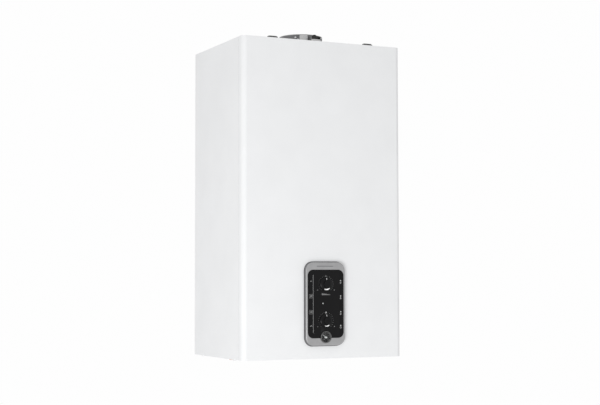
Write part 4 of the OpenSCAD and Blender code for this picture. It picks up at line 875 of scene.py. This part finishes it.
class BOILER_OT_knobs(Operator):
    """Build the two turning knobs, each with a ribbed cap, a pointer and a painted highlight, a
    bright crescent on the lower skirt
    """
    bl_idname = "boiler.knobs"
    bl_label = "Knobs"
    # Size, radius and angle of the painted highlight on each knob's lower skirt
    rest_size = {"heating_knob": (7.6 * MM, 1.5 * MM), "hot_water_knob": (6.4 * MM, 1.0 * MM)}
    rest_radius, rest_angle = 12.3 * MM, 174
    pointer_radii = (9.4 * MM, 13.2 * MM)
    cap_radius = 8.5 * MM
    rib_depth = 0.22 * MM
    slope_rows, ribbed_rows = slice(5, 11), (12, 13)

    def execute(self, context):
        ribs = context.scene.boiler_control.knob_ribs
        for node, body in KNOBS.items():
            low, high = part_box(node)
            centre = (middle(node).x, middle(node).z)
            skirt, cap, spindle = (high.x - low.x) / 2, self.cap_radius, 3 * MM
            front, seat = low.y, FASCIA_LOW.y - 0.45 * MM
            profile = [
                (spindle, high.y), (spindle, seat), (skirt - 0.5 * MM, seat),
                (skirt, seat - 0.4 * MM), (skirt, seat - 0.9 * MM),
                (skirt - 0.25 * MM, seat - 1.4 * MM), (skirt - 0.9 * MM, seat - 2.0 * MM),
                (skirt - 2.2 * MM, seat - 2.9 * MM), (skirt - 3.8 * MM, seat - 3.7 * MM),
                (skirt - 5.4 * MM, seat - 4.2 * MM), (cap + 0.6 * MM, seat - 4.45 * MM),
                (cap, seat - 4.8 * MM), (cap - 0.1 * MM, seat - 5.6 * MM),
                (cap - 0.25 * MM, front + 1.0 * MM), (cap - 0.7 * MM, front + 0.3 * MM),
                (cap - 1.3 * MM, front), (cap - 2.4 * MM, front + 0.15 * MM),
                (3.4 * MM, front + 0.75 * MM), (0.0, front + 0.9 * MM),
            ]

            def ripple(number, angle):
                if number not in self.ribbed_rows:
                    return 0.0
                return -self.rib_depth * (0.5 + 0.5 * math.cos(ribs * angle))

            bm = bmesh.new()
            lathe(bm, profile, centre, ribs * 6, ripple)
            knob = add_piece(body + "_knob", bm, ["knob_moulding"], body)
            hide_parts(node)
            bm = bmesh.new()
            self.inlay(bm, centre, profile,
                       [(*self.pointer_radii, math.radians(turn)) for turn in (-4, -2, 0, 2, 4)])
            add_piece(body + "_pointer", bm, ["printed_pale"], body)
            # Painted highlight: a bright metal crescent on the lower skirt, where a reflection
            # shows.
            bm = bmesh.new()
            self.inlay(bm, centre, profile, self.crescent(*self.rest_size[node]))
            add_piece(body + "_painted_highlight", bm, ["bright_inlay"], body)
        return {"FINISHED"}

    def depth_at(self, profile, radius):
        """Depth of the skirt's front at a radius."""
        slope = profile[self.slope_rows]
        for (r0, d0), (r1, d1) in zip(slope, slope[1:]):
            if r1 <= radius <= r0:
                return d0 + (d1 - d0) * (r0 - radius) / (r0 - r1)
        return slope[-1][1]

    def crescent(self, half_width, half_height):
        """Inner radius, outer radius and angle along the painted highlight, a crescent on the lower
        part of the skirt.
        """
        reach = math.degrees(half_width / self.rest_radius)
        edges = []
        for n in range(17):
            turn = -1 + n / 8
            bulge = math.sqrt(max(0.0, 1 - turn * turn))
            edges.append((self.rest_radius - 0.8 * half_height * bulge,
                          self.rest_radius + half_height * bulge,
                          math.radians(self.rest_angle + reach * turn)))
        return edges

    def inlay(self, bm, centre, profile, edges):
        """Thin domed piece that follows the slope of the skirt, for the printed pointer or the
        painted highlight.
        """
        cx, cz = centre
        rows = []
        for step in range(7):
            share = step / 6
            row = []
            for inner, outer, angle in edges:
                radius = inner + (outer - inner) * share
                proud = (0.10 + 0.12 * math.sin(math.pi * share)) * MM
                row.append((cx + radius * math.sin(angle), self.depth_at(profile, radius) - proud,
                            cz + radius * math.cos(angle)))
            rows.append(row)
        first, last = ([(x, y + 0.5 * MM, z) for x, y, z in row] for row in (rows[0], rows[-1]))
        loft(bm, [first] + rows + [last], closed=False)


class BOILER_OT_symbols(Operator):
    """Print the small symbols of the push buttons and the indicator lights"""
    bl_idname = "boiler.symbols"
    bl_label = "Symbols"

    def execute(self, context):
        key_symbols = (self.flash, self.grid, self.bars, self.roof)
        for (node, body), symbol in zip(KEYS.items(), key_symbols):
            shapes = symbol()
            reach = max(math.hypot(px, pz) for shape in shapes for px, pz in shape)
            self.symbol_piece(body + "_symbol", shapes, middle(node).x, middle(node).z,
                              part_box(node)[0].y, body, (KEY_CAP_RADIUS - 0.35 * MM) / reach)
        for node in ("reset_button", "mode_button"):
            self.symbol_piece(node + "_frame", self.square_frame(), middle(node).x,
                              middle(node).z, FASCIA_LOW.y, "casing", MM)
        lights_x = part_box("indicator_lights")[1].x - LIGHT_RADIUS
        light_symbols = (self.flame, self.drop, self.flame, self.lozenge)
        for number, (node, symbol) in enumerate(zip(KEYS, light_symbols)):
            self.symbol_piece("light_symbol_%d" % number, symbol(), lights_x,
                              middle(node).z - 4.6 * MM, FASCIA_LOW.y, "casing", 1.3 * MM)
        return {"FINISHED"}

    def symbol_piece(self, name, shapes, x, z, face, body, size):
        """Raised print of flat shapes about a spot."""
        bm = bmesh.new()
        for shape in shapes:
            plate(bm, [(size * px, size * pz) for px, pz in shape], (x, z), face - PRINT_RISE,
                  face + 0.05 * MM)
        add_piece(name, bm, ["printed_grey"], body, smooth=False)

    def square_frame(self):
        """Four sides of a frame round a key."""
        half, line = 4.1, 0.5
        sides = [self.bar(0, half * side, 2 * half + line, line) for side in (-1, 1)]
        return sides + [self.bar(half * side, 0, line, 7.5) for side in (-1, 1)]

    def bar(self, x, z, width, height):
        """Bar with eased corners about a spot."""
        return [(x + px, z + pz) for px, pz in round_outline(width, height, 0.2, 2)]

    def flash(self):
        """Spark over a hand."""
        return [[(-0.2, 0.6), (1.6, 3.0), (0.6, 0.9)],
                [(0.9, 1.0), (-0.9, -0.3), (-1.0, 0.3), (0.2, 1.1)],
                [(-2.6, -2.4), (-1.3, -0.4), (0.2, -1.0), (2.4, -2.4)]]

    def grid(self):
        """Block of small squares with one left out."""
        squares = [self.bar(x, z, 1.5, 1.5) for x in (-1.9, 0.0, 1.9) for z in (-1.9, 0.0, 1.9)]
        return squares[:6] + squares[7:]

    def bars(self):
        """Three long bars beside a short upright one."""
        long_bars = [self.bar(-0.3, z, 5.0, 1.1) for z in (-1.8, 0.0, 1.8)]
        return long_bars + [self.bar(2.9, 0.9, 0.7, 2.6)]

    def roof(self):
        """Two rafters of a roof."""
        return [[(-2.8, -1.2), (-0.2, 1.9), (0.6, 0.9), (-2.1, -1.9)],
                [(0.6, 1.9), (2.8, -1.2), (2.0, -1.8), (-0.1, 1.0)]]

    def flame(self):
        """Flame that leans to one side."""
        return [[(0.3, 2.0), (1.5, 0.3), (1.3, -1.1), (0.2, -1.9), (-1.1, -1.5), (-1.7, -0.3),
                 (-0.9, 0.7), (-0.4, 0.1)]]

    def drop(self):
        """Drop of water."""
        return [[(0.0, 2.4), (1.3, 0.2), (1.5, -1.0), (0.8, -1.9), (-0.8, -1.9), (-1.5, -1.0),
                 (-1.3, 0.2)]]

    def lozenge(self):
        """Outline of a small square on its corner."""
        outer, inner = 2.3, 1.3
        corners = [(0.0, 1.0), (1.0, 0.0), (0.0, -1.0), (-1.0, 0.0)]
        return [[(outer * ax, outer * az), (outer * bx, outer * bz), (inner * bx, inner * bz),
                 (inner * ax, inner * az)]
                for (ax, az), (bx, bz) in zip(corners, corners[1:] + corners[:1])]


class BOILER_OT_gauge(Operator):
    """Build the dial of the pressure gauge, its numbers, and the cover of its pivot"""
    bl_idname = "boiler.gauge"
    bl_label = "Pressure gauge"
    sweep = 270
    bars, parts = 4, 4
    card_depth = 4.75 * MM
    card_inset = 2.5 * MM
    long_tick, short_tick = (2.6 * MM, 0.30 * MM), (1.6 * MM, 0.17 * MM)

    def execute(self, context):
        x, z = GAUGE_CENTRE
        card, radius = GAUGE_LOW.y + self.card_depth, GAUGE_RADIUS - self.card_inset
        hole, card_back = 1.0 * MM, card + 0.15 * MM
        bm = bmesh.new()
        lathe(bm, [(radius, card_back), (radius, card), (hole, card), (hole, card_back)],
              GAUGE_CENTRE, 64)
        add_piece("gauge_dial", bm, ["dial_card"], "casing")
        self.ticks(radius, card)
        for n in range(self.bars + 1):
            self.number(str(n), self.angle(n), radius - 4.3 * MM, card)
        add_plate("gauge_pivot_cover", "printed_white",
                  ring_outline(3.5 * MM, 25, 90, 270), (x, z + 0.7 * MM),
                  GAUGE_LOW.y + 1.75 * MM, card, edge=0.4 * MM)
        self.bezel()
        return {"FINISHED"}

    def ticks(self, radius, card):
        """Long mark at each number of the dial and short ones between."""
        base = Vector((GAUGE_CENTRE[0], card - 0.01 * MM, GAUGE_CENTRE[1]))
        raised = Vector((0, -0.05 * MM, 0))
        outer = radius - 0.4 * MM
        bm = bmesh.new()
        for n in range(self.parts * self.bars + 1):
            length, width = self.short_tick if n % self.parts else self.long_tick
            angle = self.angle(n / self.parts)
            across = Vector((math.cos(angle), 0, -math.sin(angle))) * width
            along = Vector((math.sin(angle), 0, math.cos(angle)))
            inner = radius - length
            corners = [base + along * inner - across, base + along * inner + across,
                       base + along * outer + across, base + along * outer - across]
            loft(bm, [corners, [corner + raised for corner in corners]], cap_first=True,
                 cap_last=True)
        add_piece("gauge_ticks", bm, ["printed_grey"], "casing", smooth=False)

    def angle(self, reading):
        """Turn from upright for a reading of the gauge."""
        return math.radians(self.sweep * (reading / self.bars - 0.5))

    def bezel(self):
        """Round bezel over the rim of the gauge's case."""
        outer, front = GAUGE_RADIUS - 0.05 * MM, GAUGE_LOW.y
        profile = [(outer, front + 0.6 * MM), (outer, front + 0.35 * MM),
                   (outer - 0.15 * MM, front + 0.08 * MM), (outer - 0.55 * MM, front - 0.05 * MM),
                   (outer - 1.0 * MM, front + 0.02 * MM), (outer - 1.5 * MM, front + 0.3 * MM),
                   (outer - 1.8 * MM, front + 0.8 * MM)]
        cx, cz = GAUGE_CENTRE
        bm = bmesh.new()
        loft(bm, [[(cx + x, depth, cz + z) for x, z in ring_outline(radius, 72)]
                  for radius, depth in profile])
        add_piece("gauge_bezel", bm, ["bezel_grey"], "casing")

    def number(self, digit, angle, radius, card):
        """One number of the dial, upright beside its long mark."""
        text = bpy.data.curves.new("digit", "FONT")
        text.body = digit
        text.size = 2.9 * MM
        text.align_x = "CENTER"
        text.align_y = "CENTER"
        text.extrude = 0.03 * MM
        maker = link_object("digit", text)
        bpy.context.view_layer.update()
        bm = bmesh.new()
        bm.from_mesh(maker.to_mesh())
        maker.to_mesh_clear()
        bpy.data.objects.remove(maker)
        bpy.data.curves.remove(text)
        spot = Vector((GAUGE_CENTRE[0] + radius * math.sin(angle), card - 0.04 * MM,
                       GAUGE_CENTRE[1] + radius * math.cos(angle)))
        upright = Matrix.Rotation(math.radians(90), 4, "X")
        bmesh.ops.transform(bm, matrix=Matrix.Translation(spot) @ upright, verts=bm.verts)
        add_piece("gauge_number_" + digit, bm, ["printed_grey"], "casing",
                  smooth=False)


# Top and foot

class BOILER_OT_collar(Operator):
    """Build the clamp plate and the screws on the flue collar"""
    bl_idname = "boiler.collar"
    bl_label = "Flue collar"
    clamp_turns, screw_turns = (-28, -7), (-38.5, -32)
    head_profile = ((1.0, -0.4), (1.0, 0.5), (0.87, 0.75), (0.63, 0.85), (0.42, 0.85),
                    (0.38, 0.5), (0.05, 0.5))

    def execute(self, context):
        centre = middle("collar_seal")
        high = SEAL_HIGH.z - 1.6 * MM
        self.clamp(centre, SEAL_HIGH.z - 22 * MM, high)
        for number, angle in enumerate(self.screw_turns):
            turn = math.radians(angle)
            out = Vector((math.sin(turn), -math.cos(turn), 0))
            side = Vector((math.cos(turn), math.sin(turn), 0))
            foot = Vector((centre.x, centre.y, high - (6 + 5 * number) * MM)) + out * COLLAR_RADIUS
            self.screw("collar_clamp_screw_%d" % number, foot, out, side, 2.6 * MM)
        cap_low, cap_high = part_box("sampling_caps")
        # Pale zinc band at the saddle's foot, which is partly a painted highlight on its lower
        # edge.
        add_plate("saddle_band_highlight", "zinc_clamp",
                  round_outline(24 * MM, 5 * MM, 1 * MM),
                  ((cap_low.x + cap_high.x) / 2, cap_low.z + 3.5 * MM),
                  COLLAR_FRONT - 0.3 * MM, COLLAR_FRONT + 0.1 * MM, edge=0.1 * MM)
        spot = Vector((cap_high.x + 2.1 * MM, COLLAR_FRONT, cap_low.z + 8.5 * MM))
        self.screw("saddle_screw", spot, Vector((0, -1, 0)), Vector((1, 0, 0)), 1.7 * MM)
        return {"FINISHED"}

    def clamp(self, centre, low, high):
        """Curved plate on the front of the collar."""
        inner, outer, easing = COLLAR_RADIUS - 0.3 * MM, COLLAR_RADIUS + 0.9 * MM, 0.3 * MM
        shoulder = COLLAR_RADIUS + 0.63 * MM
        section = ((inner, low), (shoulder, low), (outer, low + easing), (outer, high - easing),
                   (shoulder, high), (inner, high))
        start, end = self.clamp_turns
        steps = 24
        loops = []
        for n in range(steps + 1):
            turn = math.radians(start + (end - start) * n / steps)
            across, ahead = math.sin(turn), -math.cos(turn)
            loops.append([(centre.x + radius * across, centre.y + radius * ahead, z)
                          for radius, z in section])
        bm = bmesh.new()
        loft(bm, loops, cap_first=True, cap_last=True)
        add_piece("collar_clamp", bm, ["zinc_clamp"], "casing")

    def screw(self, name, foot, out, side, size):
        """Round screw head with a socket, standing on a spot."""
        up = Vector((0, 0, 1))
        loops = []
        for radius, lift in self.head_profile:
            ring = [side * math.cos(a) + up * math.sin(a)
                    for a in (FULL_TURN * n / 24 for n in range(24))]
            loops.append([foot + (out * lift + across * radius) * size for across in ring])
        bm = bmesh.new()
        loft(bm, loops, cap_first=True, cap_last=True)
        add_piece(name, bm, ["stainless"], "casing")


class BOILER_OT_connections(Operator):
    """Cut the threads of the five pipe connections"""
    bl_idname = "boiler.connections"
    bl_label = "Pipe threads"
    pitch, turns, steps = 1.8 * MM, 4, 40

    def execute(self, context):
        last, run_out = self.turns * self.steps, self.steps / 4
        for number, (x, radius) in enumerate(TAILS.items()):
            loops = []
            for n in range(last + 1):
                angle = FULL_TURN * n / self.steps
                rise = TAILS_FOOT + 1.2 * MM + self.pitch * n / self.steps
                crest = 0.45 * min(1.0, n / run_out, (last - n) / run_out) - 0.05
                ring = []
                for out, up in ((-0.3, -0.4), (crest, 0.0), (-0.3, 0.4)):
                    reach = radius + out * MM
                    ring.append((x + reach * math.cos(angle), TAIL_Y + reach * math.sin(angle),
                                 rise + up * self.pitch))
                loops.append(ring)
            bm = bmesh.new()
            loft(bm, loops, cap_first=True, cap_last=True)
            add_piece("connection_thread_%d" % number, bm, ["copper_tube"], "casing")
        return {"FINISHED"}


# Stage

class BOILER_OT_stage(Operator):
    """Set up the floor, the white background, the lamps and the camera"""
    bl_idname = "boiler.stage"
    bl_label = "Stage"
    floor_radii = (0.4, 1.2, 2.4, 3.6)
    fade_start, fade_end = (1.0, 0.8), (3.3, 1.0)
    key_place, key_aim, key_size = (-1.70, -1.95, -1.25), (0.0, COVER_FRONT, -0.40), 1.1
    low_place, low_aim, low_size = (1.05, -1.45, -1.35), (0.0, COVER_FRONT, -0.55), 0.5
    eye = (-1.33297, -2.94994, -0.48823)
    eye_right = (0.90202, -0.43169, -0.00199)
    eye_down = (0.02287, 0.05238, -0.99837)
    eye_ahead = (0.43109, 0.90050, 0.05712)
    lens_length, sensor_width = 78.892, 36

    def execute(self, context):
        settings = context.scene.boiler_stage
        context.scene.view_settings.view_transform = "Standard"
        self.floor(settings)
        self.sky(context, settings)
        self.lamp("key_lamp", self.key_place, self.key_aim, self.key_size, settings.key)
        self.lamp("low_lamp", self.low_place, self.low_aim, self.low_size, settings.fill)
        self.camera(context)
        return {"FINISHED"}

    def floor(self, settings):
        """Pale floor that the eye sees as white and that keeps the shadow."""
        bm = bmesh.new()
        loft(bm, [[(x, y, settings.floor_height) for x, y in ring_outline(radius, 96)]
                  for radius in self.floor_radii], cap_first=True)
        floor = link_object("floor", close_mesh("floor", bm))
        tree, shader = new_material("floor_white")
        texture = use_group(tree, "Surface grain", Size=10 * MM)
        tint = blend_colours(tree, texture.outputs["Tone"], rgba(grey(0.84)), rgba(grey(0.80)))
        tree.links.new(tint, shader.inputs["Base Color"])
        shader.inputs["Roughness"].default_value = 0.9
        glow = put(tree, "ShaderNodeEmission", Color=rgba(grey(1)), Strength=settings.backdrop)
        place = put(tree, "ShaderNodeVectorMath", _0=object_place(tree), _1=(1, 1, 0))
        place.operation = "MULTIPLY"
        far = put(tree, "ShaderNodeVectorMath", _0=place.outputs[0])
        far.operation = "LENGTH"
        (near, near_share), (end, end_share) = self.fade_start, self.fade_end
        white = remap(tree, far.outputs["Value"], near, end, near_share, end_share)
        share = calc(tree, "MULTIPLY", self.seen_directly(tree), white)
        mix = put(tree, "ShaderNodeMixShader", _0=share, _1=shader.outputs[0], _2=glow.outputs[0])
        tree.links.new(mix.outputs[0], tree.nodes["Material Output"].inputs[0])
        floor.data.materials.append(bpy.data.materials["floor_white"])

    def seen_directly(self, tree):
        """Whether a ray comes from the eye, from a gloss or through glass."""
        ray = tree.nodes.new("ShaderNodeLightPath").outputs
        seen = calc(tree, "MAXIMUM", ray["Is Camera Ray"], ray["Is Glossy Ray"])
        return calc(tree, "MAXIMUM", seen, ray["Is Transmission Ray"])

    def sky(self, context, settings):
        """Even light all round, with a white that only the eye, gloss and glass see."""
        world = bpy.data.worlds.new("soft_studio")
        context.scene.world = world
        world.use_nodes = True
        tree = world.node_tree
        soft = tree.nodes["Background"]
        soft.inputs["Color"].default_value = rgba(grey(1))
        soft.inputs["Strength"].default_value = settings.sky
        white = put(tree, "ShaderNodeBackground", Color=rgba(grey(1)), Strength=settings.backdrop)
        mix = put(tree, "ShaderNodeMixShader", _0=self.seen_directly(tree), _1=soft.outputs[0],
                  _2=white.outputs[0])
        tree.links.new(mix.outputs[0], tree.nodes["World Output"].inputs[0])

    def lamp(self, name, place, aim, size, power):
        """Square soft lamp turned to a point."""
        light = bpy.data.lights.new(name, "AREA")
        light.size = size
        light.energy = power
        lamp = link_object(name, light)
        lamp.location = place
        lamp.rotation_euler = (Vector(aim) - Vector(place)).to_track_quat("-Z", "Y").to_euler()

    def camera(self, context):
        """Camera that was fitted to the corners of the casing in the photograph."""
        lens = bpy.data.cameras.new("photo_camera")
        lens.lens = self.lens_length
        lens.sensor_width = self.sensor_width
        camera = link_object("photo_camera", lens)
        right, down, ahead = Vector(self.eye_right), Vector(self.eye_down), Vector(self.eye_ahead)
        turn = Matrix((right, -down, -ahead)).transposed()
        camera.matrix_world = Matrix.Translation(self.eye) @ turn.to_4x4()
        context.scene.camera = camera


STEPS = (
    BOILER_OT_finishes, BOILER_OT_sheet_metal, BOILER_OT_panel_housing, BOILER_OT_fascia,
    BOILER_OT_knobs, BOILER_OT_symbols, BOILER_OT_gauge, BOILER_OT_collar, BOILER_OT_connections,
    BOILER_OT_stage,
)


class BOILER_PT_sidebar(Panel):
    """Settings and steps of the boiler in the sidebar"""
    bl_idname = "BOILER_PT_sidebar"
    bl_label = "Wall-hung boiler"
    bl_space_type = "VIEW_3D"
    bl_region_type = "UI"
    bl_category = "Boiler"

    def draw(self, context):
        layout = self.layout
        scene = context.scene
        for settings in (scene.boiler_casing, scene.boiler_control, scene.boiler_stage):
            box = layout.box()
            for name in settings.__annotations__:
                box.prop(settings, name)
        for step in STEPS:
            layout.operator(step.bl_idname)


CLASSES = (CasingSettings, ControlSettings, StageSettings, *STEPS, BOILER_PT_sidebar)


def register():
    """Makes the classes and the settings known."""
    for cls in CLASSES:
        bpy.utils.register_class(cls)
    bpy.types.Scene.boiler_casing = PointerProperty(type=CasingSettings)
    bpy.types.Scene.boiler_control = PointerProperty(type=ControlSettings)
    bpy.types.Scene.boiler_stage = PointerProperty(type=StageSettings)


def unregister():
    """Takes the settings and the classes away again."""
    del bpy.types.Scene.boiler_stage
    del bpy.types.Scene.boiler_control
    del bpy.types.Scene.boiler_casing
    for cls in reversed(CLASSES):
        bpy.utils.unregister_class(cls)


def main():
    """Builds everything."""
    register()
    for step in STEPS:
        area, name = step.bl_idname.split(".")
        getattr(getattr(bpy.ops, area), name)()


if __name__ == "__main__":
    main()
